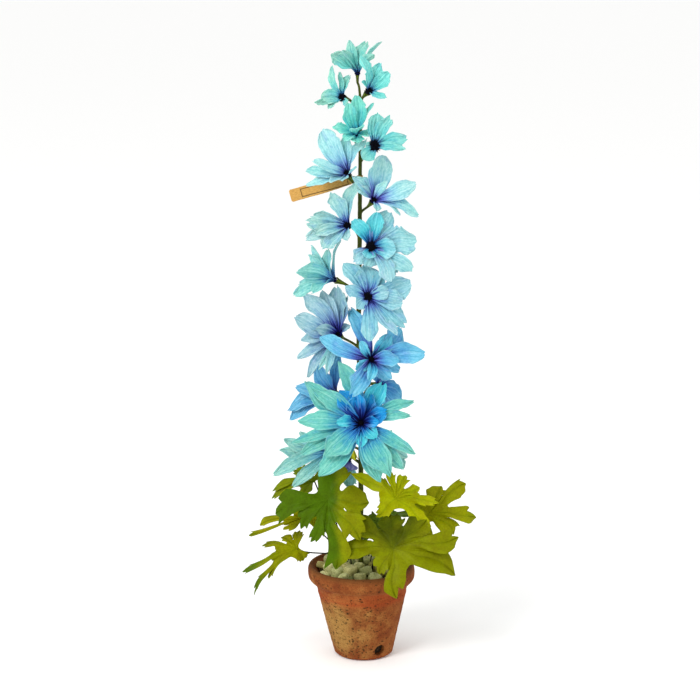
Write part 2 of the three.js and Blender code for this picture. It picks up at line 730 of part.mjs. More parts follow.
// A plain straight hole for a stem, wide enough that its flats clear the stem by the gap.
function boreSolid(from, to, radius) {
  const sides = 6;
  const along = to.clone().sub(from).normalize();
  const foot = from.clone().addScaledVector(along, -GAP);
  const wide = (radius + GAP) / Math.cos(Math.PI / sides);
  const reach = to.distanceTo(foot);
  return turnedSolid([[0, 0], [wide, 0], [wide, reach], [0, reach]], sides, foot, along);
}

function fillSolid(bores) {
  const { from, to } = FILL;
  const profile = [[0, from], [innerRadius(from) - GAP, from], [innerRadius(to) - GAP, to], [0, to]];
  return bores.reduce((plug, bore) => plug.subtract(bore), solidOf(latheUp(profile, POT.sides)));
}

// One stone, sized, squashed and turned by five random draws.
function stoneSolid(x, y, reach, draw) {
  const size = PEBBLE.size * mix(0.92, 1.22, draw[0]);
  const height = PEBBLE.low + PEBBLE.mound * (1 - (reach / PEBBLE.field) ** 2) + mix(-1.5, 1.5, draw[1]);
  const stone = new THREE.IcosahedronGeometry(size, 0);
  stone.scale(mix(0.9, 1.1, draw[2]), mix(0.85, 1.1, draw[3]), 0.8);
  stone.rotateZ(2 * Math.PI * draw[4]).rotateX(Math.PI * draw[2]);
  stone.translate(x + potAxisX(height), y, Math.max(height, FILL.to + GAP + size * 0.5));
  return solidOf(stone);
}

// Rounded stones on a jittered hexagonal field, mounded in the middle, standing in a bed of their own.
function pebbleSolid(bores) {
  const random = seeded(11);
  const { spacing, jitter, field, bed } = PEBBLE;
  const rowHeight = spacing * Math.sqrt(0.75);
  const rows = Math.ceil(field / rowHeight);
  const stones = [];
  for (let i = -rows; i <= rows; i++) {
    for (let j = -rows; j <= rows; j++) {
      const x = (j + (i & 1) / 2) * spacing + (random() - 0.5) * jitter;
      const y = i * rowHeight + (random() - 0.5) * jitter;
      const draw = Array.from({ length: 5 }, random);
      const reach = Math.hypot(x, y);
      if (reach <= field) stones.push(stoneSolid(x, y, reach, draw));
    }
  }
  const low = FILL.to + GAP;
  const room = (top) => {
    const profile = [[0, low], [innerRadius(low) - GAP, low], [innerRadius(top) - GAP, top], [0, top]];
    return solidOf(latheUp(profile, POT.sides));
  };
  const heap = joined(stones).intersect(room(POT.height + 30)).add(room(low + bed));
  return bores.reduce((rest, bore) => rest.subtract(bore), heap);
}

function tagSolid() {
  const { height, neck, thickness, end, nearStem, band, at } = TAG;
  const stem = stemPoint(at);
  const radius = stemRadius(at) + band.clear;
  const left = v3(...end);
  const right = v3(...nearStem);
  const along = right.clone().sub(left).normalize();
  const across = v3(-along.z, 0, along.x);
  const last = v3(stem.x, stem.y + radius + band.wall / 2, stem.z);
  const rows = [
    [left, height], [left.clone().lerp(right, 0.5), height], [right, neck],
    [right.clone().lerp(last, 0.7), band.height + 1], [last, band.height],
  ];
  const points = rows.flatMap(([p, tall]) => [
    p.clone().addScaledVector(across, -tall / 2),
    p.clone().addScaledVector(across, tall / 2),
  ]);
  const numbered = rows.map((_, i) => [2 * i, 2 * i + 1]);
  const flag = sheetSolid(points, stripTriangles(numbered), thickness);
  const half = band.height / 2;
  const outer = radius + band.wall;
  const profile = [[radius, -half], [outer, -half], [outer, half], [radius, half], [radius, -half]];
  return flag.add(turnedSolid(profile, 10, stem, v3(0, 0, 1)));
}

// ---------------------------------------------------------------- the plant

const FINISH = {
  petal_aqua: { color: 0x7fdcd6, roughness: 0.75 },
  petal_pale: { color: 0x9fd0e2, roughness: 0.75 },
  petal_blue: { color: 0x5fa6da, roughness: 0.75 },
  petal_teal: { color: 0x86dcd0, roughness: 0.75 },
  centre: { color: 0x0b0a14, roughness: 0.9 },
  leaf: { color: 0x8a9a12, roughness: 0.65 },
  stem: { color: 0x4a5210, roughness: 0.7 },
  terracotta: { color: 0xa8593a, roughness: 0.85 },
  fill: { color: 0x3b3026, roughness: 0.95 },
  pebble: { color: 0xb7b592, roughness: 0.8 },
  kraft: { color: 0xcf9a4a, roughness: 0.8 },
};

const plant = new THREE.Group();

function addPiece(name, solid, finish) {
  const material = new THREE.MeshStandardMaterial({ ...FINISH[finish], metalness: 0 });
  const mesh = new THREE.Mesh(geometryOf(cleaned(solid)), material);
  mesh.name = name;
  plant.add(mesh);
}

const blooms = BLOOMS.map(budded);
const leaves = LEAVES.map(placed);

// Petal colour runs down the stem: aqua at the top, pale blue, blue, and teal-tipped at the foot.
function petalFinish(index) {
  if (index < 5) return "petal_aqua";
  if (index < 12) return "petal_pale";
  return index === 13 || index > 15 ? "petal_teal" : "petal_blue";
}

const bores = [
  boreSolid(v3(...STEM.line[0]), stemPoint(PETIOLE.collar), STEM.radiusLow + 0.1),
  ...leaves.map((leaf) => boreSolid(...petioleEnds(leaf), PETIOLE.radius)),
];

blooms.forEach((bloom, index) => {
  addPiece(`${bloom.name}_petals`, bloomSolid(bloom), petalFinish(index));
  addPiece(`${bloom.name}_centre`, centreSolid(bloom), "centre");
});
addPiece("stem", stemSolid(blooms), "stem");
leaves.forEach((leaf) => addPiece(leaf.name, leafSolid(leaf), "leaf"));
addPiece("pot", potSolid(), "terracotta");
addPiece("filling", fillSolid(bores), "fill");
addPiece("pebbles", pebbleSolid(bores), "pebble");
addPiece("tag", tagSolid(), "kraft");

export default plant;
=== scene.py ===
"""A potted delphinium made of dyed crepe paper, in metres, +Z up, its origin under the pot.

Nineteen open blooms stand on a taped wire stem over eight lobed leaves of waxed paper. The stem is
set in a thrown terracotta pot with a bed of pebbles, and a kraft paper tag hangs on it.
"""

import math
import random

import bpy
import numpy as np
from mathutils import Matrix, Vector


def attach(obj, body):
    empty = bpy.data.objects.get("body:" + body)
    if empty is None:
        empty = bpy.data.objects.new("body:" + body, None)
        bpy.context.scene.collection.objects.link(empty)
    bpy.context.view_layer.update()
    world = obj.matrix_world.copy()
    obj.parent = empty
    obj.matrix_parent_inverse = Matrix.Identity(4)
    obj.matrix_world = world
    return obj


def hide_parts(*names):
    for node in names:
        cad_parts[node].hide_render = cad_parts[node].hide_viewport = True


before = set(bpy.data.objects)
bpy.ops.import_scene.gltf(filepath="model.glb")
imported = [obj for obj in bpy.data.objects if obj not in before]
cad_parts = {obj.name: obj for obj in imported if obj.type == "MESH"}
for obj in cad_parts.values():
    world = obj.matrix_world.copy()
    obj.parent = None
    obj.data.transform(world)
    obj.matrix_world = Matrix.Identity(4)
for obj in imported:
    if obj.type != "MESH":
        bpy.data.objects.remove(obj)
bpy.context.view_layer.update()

MM = 0.001

# ---------------------------------------------------------------- sizes, in metres

EYE_DISTANCE = 1.956  # the blooms and leaves are laid out as seen from here
EYE_HEIGHT = 0.734

PETAL_BOW = 0.09
PETAL_CUP = 0.28
PETAL_OPEN = 0.16  # how far a petal rises as it goes outwards, as a share
PETAL_PLEAT, PLEAT_WIDTH = 0.4 * MM, 4.2 * MM
PETAL_SPARE = 1.1  # the width that cups and pleats take up, as a share
PAPER = 0.42 * MM
THROAT = 2 * MM  # where a petal starts from its bloom's axis, growing with each petal
THROAT_GROWTH = 0.06 * MM
WORN = .5  # how far the palest petals of the pale blooms have faded at their tips
DISC_HALF = 1.6 * MM
GAP = 0.3 * MM

CALYX_LENGTH = 8 * MM
# the hanging bloom's calyx is banded by painted highlights on its ridges and painted shade in its valleys
HANGING = "19"  # the bloom that hangs mouth down, with a wide banded calyx
PEDICEL = 1.25 * MM
PETIOLE = 0.7 * MM

STEM_LINE = [
    (-.0026, 0, .04), (-.0028, 0, .13), (-.0032, .001, .23), (-.0052, .0005, .34), (-.0044, 0, .43),
    (-.004, 0, .505), (-.0036, 0, .556), (-.0048, 0, .577), (-.0066, 0, .584),
]
STEM_LOW, STEM_HIGH = 2.6 * MM, 1.05 * MM
STEM_THINS = (.06, .59)  # the heights between which it thins
TAPE_TURN = 11 * MM  # how far up the stem one turn of its tape goes

LEAF_NOTCH = 0.54
LEAF_SPARE = 1.36  # the width that folds and curls take up, as a share
LEAF_BOW = 0.1
LEAF_FOLD = 0.22
LEAF_WAVE = 2.2 * MM
LEAF_PAPER = 0.5 * MM
LEAF_FOOT, LEAF_COLLAR = .068, .104
LEAF_LEAN = 0.16
LEAF_RISE = 6 * MM
WIRE_START = (.3, .3, .12)  # how level a leaf's wire leaves its collar, as shares of its way
WIRE_BEND, WIRE_DROP = .8, 7 * MM  # where it bends up to the leaf, and how far behind it

POT_HEIGHT = .0944
POT_BASE, POT_TOP, POT_TOP_AT = .0295, .047, .073
POT_LIP = .0545
POT_WALL, POT_FLOOR = .0055, .006
POT_LEAN = -.026
PITS, PIT_DEPTH = 1300, .7 * MM  # how many pits are tried
PIT_SIDE = math.radians(25)  # the side with the fewest pits
DRAIN_AT, DRAIN_RADIUS, DRAIN_TURN = .011, .006, math.radians(31)

STONE, STONE_SPACING, STONE_LOW, STONE_MOUND, STONE_FIELD = .0092, .0152, .0902, .0045, .043
STONE_ROW = .87  # how far apart the rows are, as a share of the spacing along them
STONE_JITTER, STONE_HEAVE = 1.7 * MM, 1.4 * MM

TAG_HEIGHT, TAG_NECK = .0124, .0092
TAG_END, TAG_NEAR = np.array((-.0728, .0029, .4722)), np.array((-.014, .0029, .4884))
TAG_BAND_AT, TAG_BAND = .4916, .003
TAG_CARD, TAG_CORNER = 0.45 * MM, 1.2 * MM
BORDER_START, BORDER_INSET = 9 * MM, 2.4 * MM

# ---------------------------------------------------------------- the plant's pieces

# A bloom's place; what it faces, as right, up and near; where its stalk leaves the stem (None: the
# stem's own end); then each petal's tip as right, up and near of the bloom's place, its width, and
# where they are its own, its twist in degrees and its bow. All lengths are in millimetres.
BLOOMS = {
    "01": ((-6.7, 0, 592.5), (0, 1, .2), None, [
        (-25, 21, 6, 17, 75, .05), (-8, 33, -11, 10, 45), (8, 34, -11, 16), (24, 31, -4, 10, 45),
        (-13, 24, 10, 10, 60), (-17, 20, -14, 10), (15, 20, 9, 10, 60),
    ]),
    "02": ((3.5, -12, 575.6), (.45, .45, .77), 558, [
        (-6, 34, 12, 13, -15, .12), (12, 29, -3, 12), (21, 19, 1, 14), (18, -7, 9, 11), (3, 21, -6, 12),
        (-2, 12, -9, 10),
    ]),
    "03": ((-20.7, -8, 569.5), (-.55, .15, .82), 552, [
        (-12, 31, -3, 10, 20), (-3, 26, -7, 9, 30), (6, 23, -3, 10), (-21, 1, 9, 14),
        (-28, -5, 4, 9, 50), (4, -7, 9, 7), (-15, -10, 11, 9),
    ]),
    "04": ((-8.1, -14, 534.2), (0, .72, .7), 516, [
        (-8, 31, 4, 15), (1, 39, -5, 15), (18, 31, -7, 11, 40), (-23, 8, 3, 12), (3, 9, 20, 15),
        (2, -8, 12, 13), (13, 0, 11, 11), (-12, -4, 13, 11),
    ]),
    "05": ((9.3, -20, 524.2), (.12, .1, .98), 506, [
        (16, 30, 1, 14), (3, 33, -1, 15), (33, 8, 3, 13), (30, -3, 10, 11, 45), (-11, -13, 10, 15),
        (-8, 0, 6, 8), (10, 18, -2, 10),
    ]),
    "06": ((-15.9, -8, 494.5), (-.42, .62, .66), 476, [
        (-26, 45, -3, 21), (-2, 39, -3, 16), (17, 36, 14, 12), (-35, 14, 11, 13), (-42, 3, -4, 13),
        (-42, -12, 3, 10), (-18, -7, 12, 10), (8, 8, 13, 8, 35), (-6, -6, 14, 9),
    ]),
    "07": ((8.6, -12, 469.5), (.45, .5, .74), 455, [
        (9, 46, -5, 24), (-20, 25, 6, 15), (-15, 14, 8, 10, 30), (42, 18, -2, 18), (46, -13, 4, 13),
        (27, -12, 10, 9, 30), (4, -9, 13, 9), (14, 20, 6, 9),
    ]),
    "08": ((-15.9, -14, 445.1), (-.42, .1, .9), 430, [
        (-16, 35, -2, 16), (7, 43, 1, 15, 15), (-43, 4, 1, 14), (-43, -13, -4, 12), (-34, -8, 7, 11),
        (-26, -23, 4, 17), (-1, -14, 10, 10), (-38, 10, -5, 13),
    ]),
    "09": ((6.6, -24, 425.9), (.08, 0, 1), 408, [
        (19, 35, -9, 22), (6, 34, -2, 15), (-18, 27, 3, 13), (45, 6, -4, 26), (42, -23, -2, 16),
        (24, -2, 7, 19), (20, -34, 3, 17), (25, -27, -5, 15), (-18, -15, -2, 15), (-4, -20, 0, 17),
        (-4, -11, 8, 13),
    ]),
    "10": ((-28.8, -2, 389.3), (-.9, .36, .14), 372, [
        (-24, 36, -12, 15), (-10, 30, 4, 15, -35), (-29, 26, -20, 13), (-38, 9, 16, 18),
        (-42, -15, 3, 13, 75), (-37, -6, -16, 12), (-24, -14, 15, 13, 60, .1), (3, 41, 2, 10),
    ]),
    "11": ((3.7, -24, 376.2), (.08, .05, 1), 356, [
        (-24, 34, -6, 16), (-3, 33, -3, 24), (14, 23, -6, 14), (43, 14, -4, 24), (36, -6, 1, 19),
        (38, -28, -4, 19), (30, -38, 3, 11, 40), (2, -43, 4, 16), (-24, 10, 5, 13), (-11, -11, 8, 14),
        (20, 6, 6, 14),
    ]),
    "12": ((-24.9, -10, 335.3), (-.42, .3, .86), 320, [
        (-34, 41, -3, 18), (-16, 45, -2, 15), (-2, 50, -4, 23), (5, 43, -8, 12), (8, 41, 4, 9, 45),
        (-45, 18, -3, 21), (-38, -5, 2, 12), (-43, -22, -4, 12), (-32, -43, 1, 9, 25),
        (-21, -36, 7, 8, 45), (-13, -39, 10, 8, 45), (-22, 7, 9, 13), (11, 10, 5, 8),
    ]),
    "13": ((6.8, -22, 312.8), (.18, 0, .98), 293, [
        (-22, 54, -8, 14), (-8, 46, -11, 15), (31, 31, -7, 20), (55, 6, -3, 20), (-50, 23, 5, 17),
        (-22, -37, 34, 20), (20, -20, -5, 13), (30, -11, -7, 12), (-10, 18, 9, 9), (19, 24, 2, 16),
        (27, 0, 9, 15), (-15, -10, 21, 11), (-2, -21, 27, 10),
    ]),
    "14": ((-3.1, -43, 253.2), (0, .16, .98), 226, [
        (-22, 32, 4, 21), (-5, 29, 6, 19), (9, 31, 2, 17), (23, 42, -3, 21), (26, 12, 10, 16),
        (17, 1, 13, 11), (-24, 1, 12, 11), (-1, -23, 12, 11), (15, -14, 12, 14), (-58, 43, -6, 19),
        (-47, 34, 3, 17), (-61, 3, 5, 18), (-69, -19, 1, 11), (-61, -32, -1, 16), (-36, -33, 13, 24),
        (-42, -52, 5, 23), (19, -58, 0, 19), (29, -52, 7, 24), (42, -46, -5, 17), (54, -30, 2, 13),
        (50, 8, 1, 11), (53, 23, -5, 11), (-22, 62, -8, 17),
    ]),
    "15": ((-28, 4, 271.8), (-.6, .2, .77), 258, [
        (-20, 31, 2, 20), (3, 42, -4, 15), (-41, 7, 2, 15), (-40, -4, -6, 13), (-49, -15, 2, 15),
        (-47, -27, -3, 18), (-10, -28, 4, 15), (14, -10, 8, 13),
    ]),
    "16": ((14, 8, 279.6), (.6, -.2, .77), 262, [
        (25, -14, 2, 18), (13, -23, 0, 15), (21, -3, -5, 14), (10, 12, -4, 12), (-5, 15, -1, 12),
        (-12, -14, 6, 13),
    ]),
    "17": ((-34, 0, 213.5), (-.6, -.1, .8), 200, [
        (-48, 13, 2, 13), (-52, 2, -3, 13), (-58, -25, 3, 14), (-39, -35, 1, 13), (-32, 20, -2, 13),
        (8, 20, 2, 14), (10, -16, 8, 13),
    ]),
    "18": ((20.3, 10, 215.6), (.55, -.2, .8), 203, [
        (24, -11, 2, 14), (21, -24, -1, 15), (20, 2, -5, 13), (8, 18, -4, 13), (1, -26, 0, 14),
        (-6, 18, 2, 12),
    ]),
    "19": ((-15, -6, 206.8), (-.1, -.93, -.15), 214, [
        (-17, -19, 3, 7, 50), (2, -12, 12, 13), (1, -29, 6, 15), (5, -26, -4, 12), (-13, -14, -12, 13),
    ]),
}

# A leaf's middle; what it faces; where its stalk stands in the pot; then each lobe's tip, as right, up
# and near of the leaf's middle, and the lobe's width. All lengths are in millimetres.
LEAVES = {
    "01": ((-36, -38, 173), (-.1, .25, .96), (-9, -8), [
        (8, 36, -16, 25), (-53, -12, -3, 24), (-27, -28, 3, 17), (-17, -41, 4, 13), (8, -68, 8, 23),
        (32, -40, 9, 24), (41, -3, -4, 27),
    ]),
    "02": ((31.5, -12, 167), (.1, .55, .83), (3, -7), [
        (-44, 24, 22, 14), (-19, -19, 4, 12), (36, -29, 6, 13), (44, -3, 4, 14), (25, 12, -3, 14),
        (11, 24, -5, 14), (-4, 28, -7, 13), (-14, 21, -6, 10),
    ]),
    "03": ((66, 4, 146), (.2, .45, .87), (6, -2), [
        (-17, 10, -3, 20), (-14, -20, -2, 24), (26, -20, 3, 26), (49, -1, 2, 21), (38, 31, 1, 21),
        (14, 29, 1, 19),
    ]),
    "04": ((29, -50, 127), (0, .5, .86), (6, -10), [
        (-4, 34, -18, 22), (-44, 27, -9, 22), (-54, -3, -1, 20), (-14, -27, 5, 14), (3, -51, 6, 21),
        (61, -27, 2, 22), (65, 9, -3, 26), (34, 26, -14, 24),
    ]),
    "05": ((-57, -8, 146), (-.2, .5, .84), (-11, -2), [
        (2, 22, -6, 14), (-15, 10, 0, 16), (-48, -8, 2, 22), (-58, -21, 4, 16), (-25, -11, 5, 10),
        (16, -8, -6, 15),
    ]),
    "06": ((-67.8, -14, 114.9), (-.3, .75, .55), (-12, -6), [
        (3, 18, -6, 13), (-16, 12, -3, 9), (-36, 3, 0, 14), (-54, -25, 4, 18), (-45, -45, 6, 10),
        (-28, -30, 8, 14), (6, -12, -6, 12),
    ]),
    "07": ((-50, 12, 178), (-.2, .7, .6), (-10, 4), [
        (14, 8, -10, 14), (-22, 10, -12, 14), (-44, -6, -2, 12), (-44, -16, 2, 12), (-14, -14, 8, 12),
    ]),
    "08": ((20, 26, 131), (.3, .7, -.6), (3, 7), [
        (-18, 2, 4, 16), (6, 28, -8, 18), (38, 12, -16, 18), (30, -22, -29, 20), (0, -24, -29, 18),
        (-24, -18, -14, 14),
    ]),
}

# Each bloom's papers: the dye of its tips, body and throat, how far the throat's dye ran up the
# petal, and how its petals were cut, from blunt (0) to pointed (1). After a bloom's first paper come
# those that only some of its petals are cut from, with their places in the list above.
PAPERS = {
    "01": [("98CBB9", "6CC3B9", "1F4F9A", .2, .5)],
    "02": [("87D4C9", "70CAC1", "3A6AB8", .22, .25)],
    "03": [("97CCB8", "7BC8C0", "2A78B8", .24, .35)],
    "04": [("88D7C4", "61C7BC", "38A0C8", .28, .4)],
    "05": [("89CBC0", "6BC1BD", "3A5AA8", .24, .2)],
    "06": [("A3DAD2", "91C8D6", "5A60C0", .3, .3)],
    "07": [("A3D7CC", "8BC4D2", "6256C4", .34, .3)],
    "08": [("A1C9BF", "88BBC1", "4A60C0", .27, .25)],
    "09": [("98CAC9", "84BAC5", "7A80C8", .34, .05),
           ("6AC7CC", "46B9C2", "1C4A9C", .42, 0, 1, 2, 5, 10)],
    "10": [("8FCCC0", "77C1BE", "4A7CC0", .3, .4)],
    "11": [("8CC1C6", "73B0C4", "4C4CB4", .32, .05)],
    "12": [("97B8BC", "80A7BE", "38309C", .4, .45), ("90CAC0", "71B8C0", "4A60B8", .28, .9, 9, 10)],
    "13": [("73BAD3", "5BA1CD", "5A4CB8", .38, .4),
           ("76C7DA", "4AB3D3", "1A2470", .4, .1, 8, 9, 11, 12)],
    "14": [("79C1B0", "56B0AE", "2A70C4", .42, .7),
           ("2A99D3", "165FB8", "0E1060", .64, .4, 0, 1, 2, 4, 5),
           ("51C1CB", "32AAC5", "1A44A8", .52, .35, 3, 6, 7, 8)],
    "15": [("72B2D1", "4F96C6", "4A5AB0", .3, .6)],
    "16": [("72B2D1", "4F96C6", "4A5AB0", .3, .5)],
    "17": [("9CCBBE", "81BBB4", "4A90C0", .3, .75)],
    "18": [("9CCBBE", "81BBB4", "4A90C0", .3, .6)],
    "19": [("91C6BF", "7FB9BC", "8880C0", .2, .4), ("857DB2", "746DA7", "5A50A0", .3, .8, 0, 1, 4)],
}

# The radius of the tuft in each bloom's middle, in millimetres.
TUFTS = {
    "01": 2.6, "02": 5, "03": 5.2, "04": 3, "05": 8, "06": 5.4, "07": 3.6, "08": 5, "09": 7.2, "10": 3,
    "11": 6, "12": 2.2, "13": 3.8, "14": 3, "15": 3, "16": 3, "17": 3, "18": 3, "19": 2.4,
}


# ---------------------------------------------------------------- small tools

def hue(code):
    """A linear colour from its sRGB hex code."""
    shares = [int(code[i:i + 2], 16) / 255 for i in (0, 2, 4)]
    return (*[c / 12.92 if c <= .04045 else ((c + .055) / 1.055) ** 2.4 for c in shares], 1)


SMOOTHLY = {"interpolation_type": "SMOOTHSTEP"}  # for a range without corners
COLOURS = {"data_type": "RGBA", "out": 2}  # for a mix of colours


def add(tree, kind, inputs=(), stops=(), out=0, **settings):
    """Adds a node to a tree, with its settings, its inputs (a value, or an output to link) and its ramp,
    and gives one of its outputs."""
    node = tree.nodes.new("ShaderNode" + kind)
    for name, value in settings.items():
        setattr(node, name, value)
    for i, (at, code) in enumerate(stops):
        stop = node.color_ramp.elements[i] if i < 2 else node.color_ramp.elements.new(at)
        stop.position, stop.color = at, hue(code)
    for socket, value in dict(inputs).items():
        if isinstance(value, bpy.types.NodeSocket):
            tree.links.new(value, node.inputs[socket])
        else:
            node.inputs[socket].default_value = value
    return node.outputs[out]


def new_material(name, **uniform):
    """A material with its uniform values on the shader's own sockets, and its tree."""
    material = bpy.data.materials.new(name)
    material.use_nodes = True
    shader = material.node_tree.nodes["Principled BSDF"]
    for socket, value in uniform.items():
        shader.inputs[socket.replace("_", " ")].default_value = value
    return material, material.node_tree


def coated(material, colour, height=None, strength=0, depth=0):
    """Gives a material its colour, and a relief of this strength and depth where it has one."""
    tree = material.node_tree
    shader = tree.nodes["Principled BSDF"]
    tree.links.new(colour, shader.inputs["Base Color"])
    if height is not None:
        bump = add(tree, "Bump", {"Strength": strength, "Distance": depth, "Height": height})
        tree.links.new(bump, shader.inputs["Normal"])
    return material


def drawn_out(tree, place, size, **inputs):
    """Noise whose spots are drawn out to this size along each axis, in metres."""
    share = add(tree, "VectorMath", {0: place, 1: [1 / length for length in size]}, operation="MULTIPLY")
    return add(tree, "TexNoise", {"Vector": share, "Scale": 1, **inputs})


def washed(tree, colour, share, spots, low, high, code):
    """Tints a colour where the spots are low."""
    tint = add(tree, "ValToRGB", {0: spots}, stops=((low, code), (high, "FFFFFF")))
    return add(tree, "Mix", {0: share, 6: colour, 7: tint}, blend_type="MULTIPLY", **COLOURS)


def unit(vector):
    return vector / np.linalg.norm(vector)


def ease(t, low, high):
    """0 below low, 1 above high, and smooth between them."""
    share = np.clip((t - low) / (high - low), 0, 1)
    return share * share * (3 - 2 * share)


def smooth_line(points, count):
    """A smooth line of count points through the given ones."""
    points = np.asarray(points, float)
    ends = np.vstack([2 * points[0] - points[1], points, 2 * points[-1] - points[-2]])
    at = np.linspace(0, len(points) - 1, count)
    k = np.minimum(at.astype(int), len(points) - 2)
    t = (at - k)[:, None]
    a, b, c, d = (ends[k + i] for i in range(4))
    return b + .5 * t * (c - a + t * (2 * a - 5 * b + 4 * c - d + t * (3 * (b - c) + d - a)))


def bezier(a, b, c, d, count):
    t = np.linspace(0, 1, count)[:, None]
    return a * (1 - t) ** 3 + 3 * b * t * (1 - t) ** 2 + 3 * c * t * t * (1 - t) + d * t ** 3


def sight(at):
    """Right, up and near at a place of the plant, as rows."""
    fall = math.atan2(EYE_HEIGHT - at[2], EYE_DISTANCE + at[1])
    up = (0, math.sin(fall), math.cos(fall))
    return np.array([(1, 0, 0), up, (0, -math.cos(fall), math.sin(fall))])


def only(*objects):
    """Selects these objects and nothing else."""
    bpy.ops.object.select_all(action="DESELECT")
    for item in objects:
        item.select_set(True)
    bpy.context.view_layer.objects.active = objects[0]


def named(name, material=None):
    """The object that an operator has just made, named and with its material."""
    made = bpy.context.object
    made.name = made.data.name = name
    if material:
        made.data.materials.clear()
        made.data.materials.append(material)
    return made


def copied(master, name, matrix=None):
    """A copy of an object with a mesh of its own, moved to its place in that mesh."""
    made = bpy.data.objects.new(name, master.data.copy())
    bpy.context.scene.collection.objects.link(made)
    if matrix is not None:
        made.data.transform(matrix)
    return made


def joined(name, parts):
    """Several objects as one."""
    only(*parts)
    if len(parts) > 1:
        bpy.ops.object.join()
    return named(name)


def dropped(master):
    """Takes away a master that was only there to be copied."""
    bpy.data.objects.remove(master)


def finished(piece, slot, *nodes, angle=None):
    """Smooths a piece's shading, hangs it on the plant's body and lets it stand for its CAD nodes."""
    only(piece)
    if angle:
        bpy.ops.object.shade_smooth_by_angle(angle=math.radians(angle))
    else:
        bpy.ops.object.shade_smooth()
    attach(piece, "root")
    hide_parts(*nodes)


def points_of(item):
    places = np.empty(len(item.data.vertices) * 3)
    item.data.vertices.foreach_get("co", places)
    return places.reshape(-1, 3)


def set_points(item, places):
    item.data.vertices.foreach_set("co", np.ascontiguousarray(places, float).ravel())
    item.data.update()


def store(item, name, kind, values):
    """Keeps a value at each point of a mesh for its material to read."""
    attribute = item.data.attributes.get(name) or item.data.attributes.new(name, kind, "POINT")
    attribute.data.foreach_set("vector" if kind == "FLOAT_VECTOR" else "value", np.ravel(values))


def with_modifier(item, kind, **settings):
    """Adds a modifier and applies it."""
    only(item)
    modifier = item.modifiers.new(kind.title(), kind)
    for name, value in settings.items():
        setattr(modifier, name, value)
    bpy.ops.object.modifier_apply(modifier=modifier.name)
    return item


def in_edit_mode(item, *steps):
    """Runs edit-mode steps on all of a mesh."""
    only(item)
    bpy.ops.object.mode_set(mode="EDIT")
    bpy.ops.mesh.select_all(action="SELECT")
    for step in steps:
        step()
    bpy.ops.object.mode_set(mode="OBJECT")


def drawn_line(name, line, radii, material, **bevel):
    """A curve through points, made a mesh: a bare line, or a closed bar where it has a bevel."""
    curve = bpy.data.curves.new(name, "CURVE")
    curve.dimensions = "3D"
    for setting, value in bevel.items():
        setattr(curve, setting, value)
    spline = curve.splines.new("POLY")
    spline.points.add(len(line) - 1)
    spline.points.foreach_set("co", np.column_stack([line, np.ones(len(line))]).ravel())
    spline.points.foreach_set("radius", np.asarray(radii, float))
    item = bpy.data.objects.new(name, curve)
    bpy.context.scene.collection.objects.link(item)
    only(item)
    bpy.ops.object.convert(target="MESH")
    return named(name, material)


def tube(name, line, radii, material, sides=12):
    """A closed round stalk along a line, with a radius at each point."""
    made = drawn_line(name, line, radii, material, bevel_depth=1, bevel_resolution=sides // 2 - 2,
                      use_fill_caps=True)
    in_edit_mode(made, lambda: bpy.ops.mesh.remove_doubles(threshold=1e-6),
                 lambda: bpy.ops.mesh.normals_make_consistent(inside=False))
    return made


# ---------------------------------------------------------------- finishes

